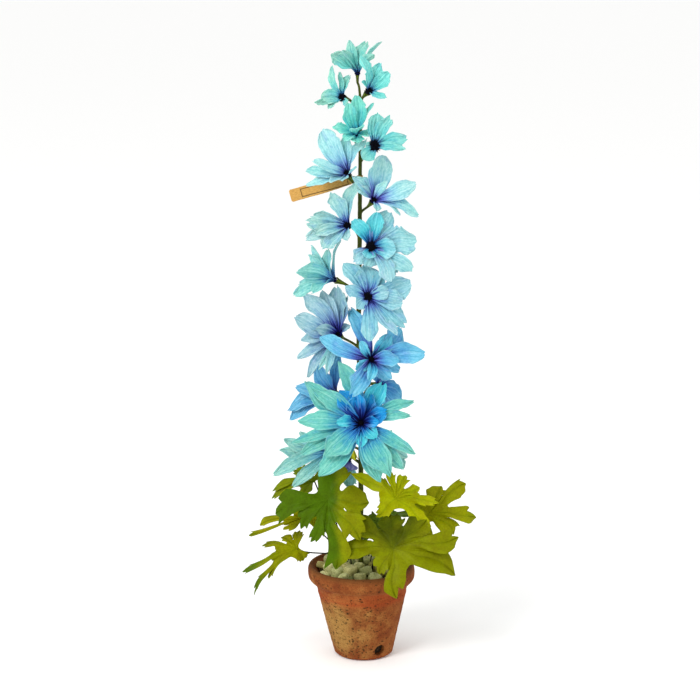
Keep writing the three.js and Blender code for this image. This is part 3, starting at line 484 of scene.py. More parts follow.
def crepe_paper(name, tip, body, throat, run, worn):
    """Crepe paper: tissue creased on a roller, dipped in dye and dried. It is matt, and so thin that
    light shows through it. Fine ribs run along the petal. From the throat, where it was dipped, the
    dye has crept up between them in streaks, and it dried in pale clouds. Its colour also carries
    painted light: painted shade in the hollows between the ribs and in the crumples, painted shade in
    the near-black at the petal roots, and painted highlights along the rib crests."""
    material, tree = new_material(name, Roughness=.9, Specular_IOR_Level=.04, Subsurface_Weight=.3,
                                  Subsurface_Radius=(1, 1, 1), Subsurface_Scale=1.5 * MM)
    flat = add(tree, "Attribute", out="Vector", attribute_name="flat")
    shares = add(tree, "Attribute", out="Vector", attribute_name="share")
    along, aside, lot = add(tree, "SeparateXYZ", {0: shares}).node.outputs
    ribs = drawn_out(tree, flat, (22 * MM, 1.2 * MM, 1), Detail=2)  # finer in fact: these are drawn to show
    clouds = drawn_out(tree, flat, (11 * MM, 7 * MM, 1), Detail=3)
    crumple = drawn_out(tree, flat, (3 * MM, 1.4 * MM, 1), Detail=4, Roughness=.65)
    lines = add(tree, "Math", {0: ribs, 1: .5}, operation="SUBTRACT")
    crept, drawn, drift = [
        add(tree, "Math", {0: spots, 1: gain, 2: along}, operation="MULTIPLY_ADD")
        for spots, gain in ((lines, .45), (lines, .95), (clouds, .6))
    ]
    faded = add(tree, "MapRange", {"Value": drift, "From Min": .6, "From Max": 1.2}, **SMOOTHLY)
    soaked = add(tree, "MapRange", {"Value": crept, "From Min": run * .2, "From Max": run * 1.35}, **SMOOTHLY)
    # near-black at the petal roots: partly dye, partly painted shade deep in the throat
    ink_and_shade = add(tree, "MapRange", {"Value": drawn, "From Min": -.02, "From Max": run * .62}, **SMOOTHLY)
    bled = add(tree, "MapRange", {"Value": clouds, "From Min": .5, "From Max": .3, "To Max": .2}, **SMOOTHLY)
    pale = add(tree, "Math", {0: lot, 1: along}, operation="MULTIPLY")
    pale = add(tree, "Math", {0: pale, 1: worn}, operation="MULTIPLY")
    colour = hue(body)
    for share, code in ((faded, tip), (pale, "BCD2DA"), (bled, throat)):
        colour = add(tree, "Mix", {0: share, 6: colour, 7: hue(code)}, **COLOURS)
    for share, code in ((soaked, throat), (ink_and_shade, "0A0C30")):
        colour = add(tree, "Mix", {0: share, 6: hue(code), 7: colour}, **COLOURS)
    # partly painted shade: darker in the hollows between the ribs and in the crumples' hollows; the rest is
    # the paper's own lines and mottling
    colour = washed(tree, colour, .32, ribs, .36, .56, "78C8D6")
    colour = washed(tree, colour, .5, crumple, .36, .6, "84C4D2")
    # painted highlights: paler threads along the crests of the ribs
    rib_highlight = add(tree, "MapRange", {"Value": ribs, "From Min": .54, "From Max": .74, "To Max": .16})
    edge = add(tree, "MapRange", {"Value": aside, "From Min": .84, "From Max": 1, "To Max": .07}, **SMOOTHLY)
    for share, code in ((rib_highlight, "D8F6F8"), (edge, "DCF4F0")):
        share = add(tree, "Math", {0: share, 1: soaked}, operation="MULTIPLY")
        colour = add(tree, "Mix", {0: share, 6: colour, 7: hue(code)}, **COLOURS)
    height = add(tree, "Math", {0: crumple, 1: .7, 2: ribs}, operation="MULTIPLY_ADD")
    return coated(material, colour, height, .6, .5 * MM)


def tuft_pile():
    """Cut paper fringe soaked in ink: nearly black and without shine, with a little blue in it."""
    material, tree = new_material("inked paper fringe", Roughness=.95, Specular_IOR_Level=.1)
    place = add(tree, "TexCoord", out="Object")
    fibre = add(tree, "TexNoise", {"Vector": place, "Scale": 1 / (.8 * MM), "Detail": 2})
    return coated(material, add(tree, "ValToRGB", {0: fibre}, stops=((.35, "030306"), (.75, "0C0B1A"))))


def wrapping_tape(name, dark, light):
    """Waxed crepe tape wound on wire: stretched fibres in short streaks up the stalk, darker where the
    tape was pulled tight, with a faint waxy shine."""
    material, tree = new_material(name, Roughness=.65, Specular_IOR_Level=.2)
    place = add(tree, "TexCoord", out="Object")
    fibre = drawn_out(tree, place, (1.2 * MM, 1.2 * MM, 6 * MM), Detail=3)
    colour = add(tree, "ValToRGB", {0: fibre}, stops=((.3, dark), (.7, light)))
    return coated(material, colour, fibre, .4, .3 * MM)


def calyx_paper(name, valley_shade, ridge_highlight):
    """Crepe paper pleated into a cup: painted shade darkens the valleys and painted highlights lighten the
    ridges.
    """
    material, tree = new_material(name, Roughness=.8, Specular_IOR_Level=.2)
    pleat = add(tree, "Attribute", out="Fac", attribute_name="pleat")
    place = add(tree, "TexCoord", out="Object")
    blot = add(tree, "TexNoise", {"Vector": place, "Scale": 1 / (3 * MM), "Detail": 3})
    # the pleat picks the colour: painted shade in its valleys, a painted highlight on its ridges
    share = add(tree, "Math", {0: blot, 1: .6, 2: pleat}, operation="MULTIPLY_ADD")
    return coated(material, add(tree, "ValToRGB", {0: share}, stops=((.35, valley_shade), (1, ridge_highlight))))


def leaf_paper(name, bright, dark):
    """Heavy crepe paper dyed twice and dipped in wax: smooth, with a low waxy sheen, yellow-green where
    one dye took and deep green where both did, a little olive between, and darker along its veins. The
    deep green is partly painted shade, where a leaf turns away from the light or lies in shadow, and the
    darkening along each lobe's rib is partly faint veins and partly painted shade in the rib's crease."""
    material, tree = new_material(name, Roughness=.5, Specular_IOR_Level=.05)
    place = add(tree, "TexCoord", out="Object")
    shade = add(tree, "Attribute", out="Fac", attribute_name="shade")
    vein = add(tree, "Attribute", out="Fac", attribute_name="vein")
    cloud, blot, grain = [
        add(tree, "TexNoise", {"Vector": place, "Scale": 1 / size, "Detail": detail})
        for size, detail in ((26 * MM, 2), (9 * MM, 4), (1.5 * MM, 3))
    ]
    # deep: the share of the deep green, partly dye and partly painted shade
    drift = add(tree, "Math", {0: cloud, 1: .8, 2: shade}, operation="MULTIPLY_ADD")
    deep = add(tree, "MapRange", {"Value": drift, "From Min": .4, "From Max": .95}, **SMOOTHLY)
    # partly painted shade: darker close to each lobe's rib, in the rib's crease; the rest is faint veins
    away = {"Value": vein, "From Min": .2 * MM, "From Max": 1.8 * MM, "To Min": .22, "To Max": 0}
    line = add(tree, "MapRange", away, **SMOOTHLY)
    colour = add(tree, "Mix", {0: deep, 6: hue(bright), 7: hue(dark)}, **COLOURS)
    colour = washed(tree, colour, .6, blot, .38, .62, "E6D8B0")
    colour = add(tree, "Mix", {0: line, 6: colour, 7: hue(dark)}, **COLOURS)
    colour = washed(tree, colour, 1, grain, .3, .6, "E8E8C8")
    return coated(material, colour, grain, .15, .3 * MM)


def terracotta():
    """Earthenware thrown on a wheel and fired unglazed: dry and porous, brown on one side and ochre on
    the other, the ochre partly salts and partly painted light on the lit side, red in a band where the
    clay was wiped, and pitted where grit burst."""
    material, tree = new_material("thrown terracotta", Roughness=.92, Specular_IOR_Level=.1)
    place = add(tree, "TexCoord", out="Object")
    aside, _, height = add(tree, "SeparateXYZ", {0: place}).node.outputs
    bands = drawn_out(tree, place, (60 * MM, 60 * MM, 6 * MM), Detail=3)
    blot = add(tree, "TexNoise", {"Vector": place, "Scale": 1 / (18 * MM), "Detail": 6, "Roughness": .65})
    grit = add(tree, "TexNoise", {"Vector": place, "Scale": 1 / (1.3 * MM), "Detail": 4, "Roughness": .7})
    clay = add(tree, "ValToRGB", {0: blot}, stops=((.36, "7A3E1E"), (.5, "8A4D25"), (.66, "9A5D2F")))

    # an ochre patch on the left front: partly salts, partly painted light on the side the light falls on
    salt_and_light = add(tree, "VectorMath", {0: place, 1: (-.03, -.03, .034)}, out="Value", operation="DISTANCE")
    salt_and_light = add(tree, "MapRange", {"Value": salt_and_light, "From Min": .062, "From Max": .008, "To Max": .5})
    salt_and_light = add(tree, "Math", {0: blot, 1: salt_and_light}, operation="ADD")
    salt_and_light_share = {"Value": salt_and_light, "From Min": .55, "From Max": 1.1, "To Max": .85}
    salt_and_light_share = add(tree, "MapRange", salt_and_light_share, **SMOOTHLY)
    level = add(tree, "MapRange", {"Value": height, "From Max": POT_HEIGHT})
    wiped = add(tree, "ValToRGB", {0: level}, stops=(
        (0, "B0B0B0"), (.14, "000000"), (.58, "000000"), (.69, "D0D0D0"), (.8, "B0B0B0"), (.88, "303030"),
    ))
    wiped = add(tree, "Math", {0: bands, 1: .9, 2: wiped}, operation="MULTIPLY_ADD")
    red = add(tree, "MapRange", {"Value": wiped, "From Min": .5, "From Max": 1.25, "To Max": .75}, **SMOOTHLY)
    for share, code in ((salt_and_light_share, "A88246"), (red, "9E421E")):
        clay = add(tree, "Mix", {0: share, 6: clay, 7: hue(code)}, **COLOURS)
    clay = washed(tree, clay, .7, grit, .3, .6, "A09080")

    grime = add(tree, "MapRange", {"Value": height, "From Min": .088, "From Max": .0938, "To Max": .75})
    pit = add(tree, "Attribute", out="Fac", attribute_name="pit")
    pit = add(tree, "MapRange", {"Value": pit, "From Min": .3, "From Max": .7, "To Max": .9})
    speck = add(tree, "TexVoronoi", {"Vector": place, "Scale": 1 / (3.4 * MM)}).node.outputs
    hole = add(tree, "MapRange", {"Value": speck["Distance"], "From Min": .2, "From Max": .1, "To Max": .85})
    lot = add(tree, "SeparateColor", {0: speck["Color"]})
    few = {"Value": aside, "From Min": -.05, "From Max": .05, "To Min": .3, "To Max": .88}
    few = add(tree, "MapRange", few)
    open_hole = add(tree, "Math", {0: lot, 1: few}, operation="GREATER_THAN")
    hole = add(tree, "Math", {0: hole, 1: open_hole}, operation="MULTIPLY")
    dark = add(tree, "Math", {0: hole, 1: pit}, operation="MAXIMUM")
    for share, code in ((grime, "5C3A1C"), (dark, "24200E")):
        clay = add(tree, "Mix", {0: share, 6: clay, 7: hue(code)}, **COLOURS)
    return coated(material, clay, grit, .5, .4 * MM)


def potting_mix():
    """Peat and grit, damp: dark brown crumbs without shine."""
    material, tree = new_material("damp potting mix", Roughness=.97, Specular_IOR_Level=.15)
    place = add(tree, "TexCoord", out="Object")
    crumb = add(tree, "TexNoise", {"Vector": place, "Scale": 1 / (1.8 * MM), "Detail": 5})
    earth = add(tree, "ValToRGB", {0: crumb}, stops=((.35, "1C130C"), (.6, "3E2E20"), (.8, "6A5A48")))
    return coated(material, earth, crumb, .8, .8 * MM)


def pebble_stone():
    """Tumbled limestone and marble chips: chalky, grey-green to cream, each stone a little other,
    with soft veins and dull worn faces."""
    material, tree = new_material("tumbled limestone", Roughness=.75, Specular_IOR_Level=.2)
    place = add(tree, "TexCoord", out="Object")
    stone = add(tree, "Attribute", out="Fac", attribute_name="stone")
    vein = add(tree, "TexNoise", {"Vector": place, "Scale": 1 / (7 * MM), "Detail": 5, "Roughness": .6,
                                  "Distortion": 1.2})
    grain = add(tree, "TexNoise", {"Vector": place, "Scale": 1 / (.9 * MM), "Detail": 3})
    colour = add(tree, "ValToRGB", {0: stone}, stops=((.05, "A2A872"), (.35, "C8C68C"), (.6, "B0B67E"),
                                                      (.8, "D4D09A"), (.97, "B8AC6A")))
    colour = washed(tree, colour, .8, vein, .3, .62, "B4BA98")
    colour = washed(tree, colour, .7, grain, .3, .55, "B4B0A0")
    return coated(material, colour, grain, .35, .3 * MM)


def kraft_card(length):
    """Unbleached kraft card: tan, flecked with brown fibres, matt, with a plain border ruled in ink."""
    material, tree = new_material("unbleached kraft card", Roughness=.85, Specular_IOR_Level=.2)
    flat = add(tree, "Attribute", out="Vector", attribute_name="flat")
    fibre = drawn_out(tree, flat, (2.6 * MM, .6 * MM, 1), Detail=3)
    card = add(tree, "ValToRGB", {0: fibre}, stops=((.3, "AA7E40"), (.55, "C8984F"), (.75, "D2A864")))
    middle = (length + BORDER_START) / 2
    reach, rise, _ = add(tree, "SeparateXYZ", {0: flat}).node.outputs
    beyond = []
    for run, centre, half in ((reach, middle, middle - BORDER_START), (rise, 0, TAG_HEIGHT / 2)):
        run = add(tree, "Math", {0: run, 1: centre}, operation="SUBTRACT")
        run = add(tree, "Math", {0: run}, operation="ABSOLUTE")
        beyond.append(add(tree, "Math", {0: run, 1: half - BORDER_INSET}, operation="SUBTRACT"))
    ruled = add(tree, "Math", {0: beyond[0], 1: beyond[1]}, operation="MAXIMUM")
    ruled = add(tree, "Math", {0: ruled}, operation="ABSOLUTE")
    ruled = add(tree, "MapRange", {"Value": ruled, "From Min": .5 * MM, "From Max": .28 * MM, "To Max": .9})
    colour = add(tree, "Mix", {0: ruled, 6: card, 7: hue("3A2A1C")}, **COLOURS)
    return coated(material, colour, fibre, .25, .2 * MM)


# ---------------------------------------------------------------- places

class Place:
    """Where a bloom or a leaf is, its own frame, and the way that it faces."""

    def __init__(self, at, faces):
        self.base = np.array(at) * MM
        self.faces = faces
        self.frame = sight(self.base)
        self.axis = unit(np.array(faces) @ self.frame)

    def matrix(self, rise, size=1, turn=0):
        """Turns a piece modelled at the origin, facing up, to this place's axis."""
        up = Vector(self.axis)
        quarter = up.to_track_quat("Z", "Y").to_matrix().to_4x4()
        spot = Matrix.Translation(Vector(self.base + self.axis * rise))
        return spot @ quarter @ Matrix.Rotation(turn, 4, "Z") @ Matrix.Scale(size, 4)


# ---------------------------------------------------------------- blooms

ACROSS, ALONG = 28, 26  # faces across and along a petal


def petal_blank():
    """The flat sheet that every petal is cut from, its rows closer together towards the tip."""
    bpy.ops.mesh.primitive_grid_add(x_subdivisions=ACROSS, y_subdivisions=ALONG, size=2)
    blank = named("petal blank")
    places = points_of(blank)
    places[:, 1] = 1 - (.5 - places[:, 1] / 2) ** 1.3
    set_points(blank, places)
    return blank


# Half of a petal's width along its length, as shares of each: cut blunt, and cut to a point.
CUT_AT = np.array((0, .12, .28, .45, .62, .76, .87, .95, 1))
CUT_BLUNT = np.array((.3, .4, .64, .86, .98, 1.02, .98, .86, .58))
CUT_POINTED = np.array((.3, .44, .74, .96, .99, .83, .56, .28, .04))
CORNERS_AT = np.array((.12, .42, .62, .73, .82, .9, 1))


def cut_edge(t, point, draw):
    """One edge of a petal, cut by hand: a smooth run, with odd corners near its end."""
    run = smooth_line(np.column_stack([CUT_AT, CUT_BLUNT + (CUT_POINTED - CUT_BLUNT) * point]), 90)
    corners = [0] + [draw.uniform(-.16, .1) for _ in CORNERS_AT[1:]]
    return np.interp(t, run[:, 0], run[:, 1]) * (1 + np.interp(t, CORNERS_AT, corners))


def shape_petal(petal, place, reach, row, point, draw):
    """Bends a blank to one petal: its outline, cup, bow and twist, then the pleats, ruffles, torn end
    and curl that are its own."""
    s, t = points_of(petal)[:, :2].T
    right, up, near, width = np.array(row[:4]) * MM
    twist = math.radians(row[4]) if len(row) > 4 else 0
    bow = row[5] if len(row) > 5 else PETAL_BOW
    tip = np.array((right, up, near + PETAL_OPEN * math.hypot(right, up) * max(0, place.faces[2])))
    tip = tip @ place.frame
    rise = tip @ place.axis
    outward = unit(tip - place.axis * rise)
    layer = np.clip(rise / np.linalg.norm(tip) / .6, -1, 1)
    root = outward * reach + place.axis * layer * (DISC_HALF - .5 * MM)
    length = np.linalg.norm(tip - root)
    along = (tip - root) / length
    face = unit(place.axis - along * (along @ place.axis))
    across = np.cross(along, face)

    point = min(1, max(0, point + draw.uniform(-.2, .2)))
    half = PETAL_SPARE * width / 2 * np.where(s < 0, cut_edge(t, point, draw), cut_edge(t, point, draw))
    ragged = draw.choice((.05, .08, .14))
    teeth = np.interp(s, np.linspace(-1, 1, 10), [draw.uniform(0, ragged) for _ in range(10)])
    reached = t - (teeth + .14 * (1 - point) * s ** 4) * ease(t, .5, 1)
    sway = draw.uniform(-.08, .08) * length * np.sin(math.pi * t)
    curl = draw.uniform(-.09, .07) * length * np.clip((t - .55) / .45, 0, 1) ** 2
    arch = 4 * bow * length * t * (1 - t) + curl

    pleats = max(2, round(width / PLEAT_WIDTH))
    wave = np.sin(math.pi * pleats * s + draw.uniform(0, 6) + draw.uniform(-1.5, 1.5) * t)
    pleat = PETAL_PLEAT * np.arcsin(.92 * wave) * (1 - .45 * t) * ease(t, 0, .25)
    ruffle = np.zeros_like(t)
    for edge in (-1, 1):
        wave = np.sin(2 * math.pi * draw.uniform(1, 2.2) * t + draw.uniform(0, 6))
        ruffle += np.where(s * edge > 0, .07 * width * np.abs(s) ** 3 * wave * t, 0)
    crease = -draw.uniform(0, 1.1) * MM * np.exp(-(s / .18) ** 2) * ease(t, 0, .3)
    cup = PETAL_CUP * draw.uniform(.7, 1.3) * half * (s * s - .4) * (.3 + t)
    channel = .75 * half * np.abs(s) * (1 - ease(t, .05, .45))

    turn = (twist + math.radians(draw.uniform(-9, 9))) * np.minimum(1, t * 1.6)
    cosine, sine = np.cos(turn)[:, None], np.sin(turn)[:, None]
    side = across * cosine + face * sine
    lift = face * cosine - across * sine
    middle = place.base + root + np.outer(reached * length, along) + np.outer(arch, face)
    middle += np.outer(sway, across)
    rise = (cup + pleat + ruffle + crease + channel)[:, None]
    set_points(petal, middle + side * (s * half)[:, None] + lift * rise)
    flat = np.column_stack([t * length, s * width / 2, np.full_like(t, draw.uniform(0, 60))])
    store(petal, "flat", "FLOAT_VECTOR", flat)
    store(petal, "share", "FLOAT_VECTOR", np.column_stack([t, np.abs(s), np.full_like(t, draw.random())]))


def receptacle(place, reach, paper):
    """The low button of rolled paper that the petals are glued to, as dark as their throats."""
    bpy.ops.mesh.primitive_uv_sphere_add(segments=20, ring_count=10, radius=1)
    button = named("receptacle", paper)
    size = Matrix.Diagonal((reach + .5 * MM, reach + .5 * MM, DISC_HALF, 1))
    button.data.transform(place.matrix(0) @ size)
    places = points_of(button)
    store(button, "flat", "FLOAT_VECTOR", places)
    store(button, "share", "FLOAT_VECTOR", np.full_like(places, -.2))
    return button


def make_bloom(number, blank):
    at, faces, _, rows = BLOOMS[number]
    place = Place(at, faces)
    reach = THROAT + THROAT_GROWTH * len(rows)
    cuts = []
    worn = WORN if slot_of(number) == "petal_pale" else 0
    for i, (tip, body, throat, run, point, *petals) in enumerate(PAPERS[number]):
        paper = crepe_paper(f"crepe paper {i + 1} of bloom {number}", tip, body, throat, run, worn)
        cuts.append((paper, point, petals))
    parts = [receptacle(place, reach, cuts[0][0])]
    for i, row in enumerate(rows):
        paper, point, _ = next((cut for cut in cuts[1:] if i in cut[2]), cuts[0])
        petal = copied(blank, f"petal {i}")
        petal.data.materials.append(paper)
        shape_petal(petal, place, reach, row, point, random.Random(f"petal {number} {i}"))
        with_modifier(petal, "SOLIDIFY", thickness=PAPER, offset=0)
        parts.append(petal)
    finished(joined(f"petals_{number}", parts), slot_of(number), f"bloom_{number}_petals")


def slot_of(number):
    """The record's slot for a bloom's petals: aqua at the top, then pale, blue, and teal at the foot."""
    count = int(number)
    if count <= 5:
        return "petal_aqua"
    if count <= 12:
        return "petal_pale"
    return "petal_blue" if number in ("13", "15", "16") else "petal_teal"


def tuft_master(pile):
    """A tuft of cut fringe, 1 across, modelled once: a rough dome set all over with short strips."""
    draw = random.Random("tuft")
    bpy.ops.mesh.primitive_ico_sphere_add(subdivisions=3, radius=.74)
    dome = named("tuft dome", pile)
    places = points_of(dome)
    places[:, 2] = np.maximum(places[:, 2] * .8, -.1)
    places *= (1 + .06 * np.sin(9 * places[:, :1]) * np.sin(8 * places[:, 1:2] + 1))
    set_points(dome, places)
    bpy.ops.mesh.primitive_cone_add(vertices=5, radius1=.085, depth=.5, location=(0, 0, .25))
    strip = named("tuft strip", pile)
    bpy.ops.object.transform_apply(location=True)
    parts = [dome]
    count = 90
    for i in range(count):
        height = (i + .5) / count
        swing = i * 2.4 + draw.uniform(-.3, .3)
        lean = math.acos(height) * .95 + draw.uniform(-.15, .15)
        way = Matrix.Rotation(swing, 4, "Z") @ Matrix.Rotation(lean, 4, "Y")
        out = Matrix.Translation((0, 0, .5 + draw.uniform(-.05, .05)))
        parts.append(copied(strip, f"strip {i}", way @ out))
    dropped(strip)
    return joined("tuft master", parts)


def make_centre(number, master):
    at, faces, *_ = BLOOMS[number]
    turn = random.Random(f"tuft {number}").uniform(0, 2 * math.pi)
    spot = Place(at, faces).matrix(DISC_HALF - .2 * MM, TUFTS[number] * MM, turn)
    tuft = copied(master, f"centre_{number}", spot)
    finished(tuft, "centre", f"bloom_{number}_centre")


# ---------------------------------------------------------------- stem

STEM_CENTRE = smooth_line(STEM_LINE, 260)


def stem_point(height):
    return np.array([np.interp(height, STEM_CENTRE[:, 2], STEM_CENTRE[:, k]) for k in range(3)])


def stem_radius(height):
    share = np.clip((height - STEM_THINS[0]) / (STEM_THINS[1] - STEM_THINS[0]), 0, 1)
    return STEM_LOW + (STEM_HIGH - STEM_LOW) * share ** 4


def main_stem(tape):
    """The wire stem, with the edge of its tape winding up it."""
    stem = tube("main stem", STEM_CENTRE, stem_radius(STEM_CENTRE[:, 2]), tape, sides=16)
    places = points_of(stem)
    axis = np.column_stack([np.interp(places[:, 2], STEM_CENTRE[:, 2], STEM_CENTRE[:, k]) for k in (0, 1)])
    out = places[:, :2] - axis
    around = np.arctan2(out[:, 1], out[:, 0]) / (2 * math.pi)
    lap = (places[:, 2] / TAPE_TURN + around) % 1
    places[:, :2] = axis + out * (1 + .1 * (lap - .5))[:, None]
    set_points(stem, places)
    return stem


def calyx_master(paper):
    """A cup of pleated paper, modelled once at its real size, mouth up: rings drawn out from a circle."""
    sides, pleats = 36, 6
    rings = [(2.9, 0), (2.6, -1.6), (2.2, -3.4), (1.8, -5.4), (1.5, -7.2), (1.25, -8.4), (1.1, -9.2)]
    mouth = 3.3 * MM
    bpy.ops.mesh.primitive_circle_add(vertices=sides, radius=mouth, fill_type="NGON")
    cup = named("calyx master", paper)

    def draw_out():
        before, level = mouth, 0
        for radius, height in rings:
            drop = height * MM - level - .01 * MM  # a hair more, so that no ring lies in the mouth's plane
            share = radius * MM / before
            bpy.ops.mesh.extrude_region_move(TRANSFORM_OT_translate={"value": (0, 0, drop)})
            bpy.ops.transform.resize(value=(share, share, 1))
            before, level = radius * MM, height * MM

    in_edit_mode(cup, draw_out)
    in_edit_mode(cup, lambda: bpy.ops.mesh.normals_make_consistent(inside=False))
    places = points_of(cup)
    turn = np.arctan2(places[:, 1], places[:, 0])
    open_share = ease(places[:, 2], -.0085, 0)
    fold = np.cos(pleats * turn)
    places[:, :2] *= (1 + .14 * open_share * fold)[:, None]
    places[:, 2] += 1.1 * MM * ease(places[:, 2], -.003, 0) * fold
    set_points(cup, places)
    store(cup, "pleat", "FLOAT", .5 + .5 * fold)
    return cup


def pedicel(number, tape):
    """A bloom's stalk: it leaves the stem rising, curves out and thickens into the calyx."""
    at, faces, stalk, _ = BLOOMS[number]
    place = Place(at, faces)
    back = place.base - place.axis * (DISC_HALF + GAP)
    if stalk is None:
        end = STEM_CENTRE[-1]
        start = end - unit(end - STEM_CENTRE[-6]) * 2 * MM
        line = smooth_line([start, end, back - place.axis * 3 * MM, back], 12)
        return tube(f"stalk {number}", line, np.linspace(1, 1.7, 12) * MM, tape)
    neck = back - place.axis * CALYX_LENGTH
    foot = stem_point(stalk * MM)
    bend = foot + .35 * (neck - foot) + np.array((0, 0, 2 * MM))
    line = bezier(foot, bend, neck - place.axis * 5 * MM, neck, 20)
    line = np.vstack([line, neck + place.axis * 2 * MM])
    t = np.linspace(0, 1, len(line))
    radii = PEDICEL * (1 + .35 * ease(t, .25, 0) + .25 * ease(t, .8, 1))
    return tube(f"stalk {number}", line, radii, tape)


def make_stem(tape):
    # the valley and ridge colours of each calyx: painted shade and painted highlight on its pleats
    green = calyx_paper("green calyx paper", "26330A", "5E6E12")
    banded = calyx_paper("banded calyx paper", "4C5C08", "C0BC1C")
    master = calyx_master(green)
    parts = [main_stem(tape)]
    for number, (at, faces, stalk, _) in BLOOMS.items():
        parts.append(pedicel(number, tape))
        draw = random.Random(f"calyx {number}")
        size = 1.2 if number == HANGING else .62 if stalk is None else draw.uniform(.96, 1.12)
        place = Place(at, faces).matrix(-(DISC_HALF + GAP), size, draw.uniform(0, 1))
        wide = 2.3 if number == HANGING else 1
        cup = copied(master, f"calyx {number}", place @ Matrix.Diagonal((wide, wide, 1, 1)))
        if number == HANGING:
            cup.data.materials.clear()
            cup.data.materials.append(banded)
        parts.append(cup)
    dropped(master)
    finished(joined("stem_and_stalks", parts), "stem", "stem", angle=50)


# ---------------------------------------------------------------- leaves

HALF_COLUMNS = 8  # faces from a lobe's rib to its edge
# How a lobe's edge is cut after the notch, as [share of its length, share of its half width, faces, how
# far it bulges]: a long smooth run, then a few teeth that point forward near the end.
TOOTHED = [(.76, .95, 14, 0), (.73, .66, 3, -.02), (.93, .52, 6, .05), (.89, .26, 2, 0), (1, .01, 4, .04)]
HOOKED = [(.66, 1, 14, 0), (.86, .76, 5, .05), (.8, .42, 3, -.03), (.94, .26, 3, .03), (1, .01, 4, .02)]
PLAIN = [(.58, 1, 14, 0), (.76, .84, 5, .04), (.88, .56, 4, .03), (.95, .26, 3, 0), (1, .02, 3, 0)]
BLUNT = [(.6, .95, 14, 0), (.82, 1.04, 5, .05), (.98, .78, 3, .04), (.92, .36, 3, -.04), (1, .02, 4, .05)]
LOBE_FACES = sum(faces for _, _, faces, _ in TOOTHED)
BROAD_LOBE = 12 * MM  # half the width from which a lobe is cut more plainly
BROAD_CUTS = (PLAIN, HOOKED, BLUNT, TOOTHED)
NARROW_CUTS = (TOOTHED, HOOKED, TOOTHED, PLAIN)

# How each leaf is coloured: its light green, and its deep green, which is partly dye and partly painted
# shade (on the half of leaf 01 left of its rib, which turns away from the light, on the top of leaf 04,
# and all over leaf 08, which lie in shadow); then the deep green's share in the middle, its gain across
# the leaf to the right, and its gain upwards and outwards, both for DYE_REACH.
LEAF_DYES_AND_SHADE = {
    "01": ("788000", "466402", .3, -.6, .25, 0), "02": ("A8B002", "5A7800", -.35, .04, .12, .1),
    "03": ("888E00", "4C6800", -.26, .06, .2, .3), "04": ("767E00", "344000", .25, 0, .75, -.5),
    "05": ("8C8E00", "4E6400", -.26, -.15, .15, .4), "06": ("888C00", "4C6802", -.18, -.15, -.05, .45),
    "07": ("7E8A02", "486402", .12, 0, .2, .2), "08": ("3E5404", "26380A", 1.1, 0, 0, 0),
}
RIB_LEAN = .12  # how far a leaf's middle rib leans from its own up
DYE_REACH = .06
# how far right of the rib the deep green, partly dye and partly painted shade, reaches
DEEP_GREEN_ASIDE = .15  # how far to the right of the rib the deep dye ran, as a share of that
SWAY_GAIN = 3.5  # makes a lobe's sway about a third of its draw, of the lobe's length
RIB_ROWS = .8  # spaces the rows of faces along a lobe's rib, closer towards the tip


def lobe_edge(notch, side, cuts, draw):
    """One edge of a lobe from the notch to its tip, as rows of [share of length, share of half width]."""
    shift = draw.uniform(-.035, .035)
    deep = draw.uniform(.85, 1.1)
    cut = draw.choice(cuts)
    (at, wide, faces, _), *corners = cut
    start, shoulder = np.array(notch), np.array((at + shift, side * wide))
    out, back = np.array((.08, -side * .2)), np.array((.2, side * .12))
    rows = [start, *bezier(start, start + out, shoulder - back, shoulder, faces + 1)[1:]]
    for i, (at, wide, faces, bulge) in enumerate(corners):
        first = rows[-1]
        last = np.array((at + shift * (at < .95), side * wide * (1 if i % 2 else deep)))
        for k in range(1, faces + 1):
            u = k / faces
            rows.append(first + (last - first) * u + np.array((0, side * bulge * math.sin(math.pi * u))))
    rows = np.array(rows)
    if notch[0] > .15:  # the neighbouring lobe starts half way between the two ribs
        room = abs(notch[1] / notch[0]) * rows[:, 0] - .05 * (rows[:, 0] - notch[0])
        rows[:, 1] = side * np.minimum(side * rows[:, 1], np.maximum(room, .02))
    return rows


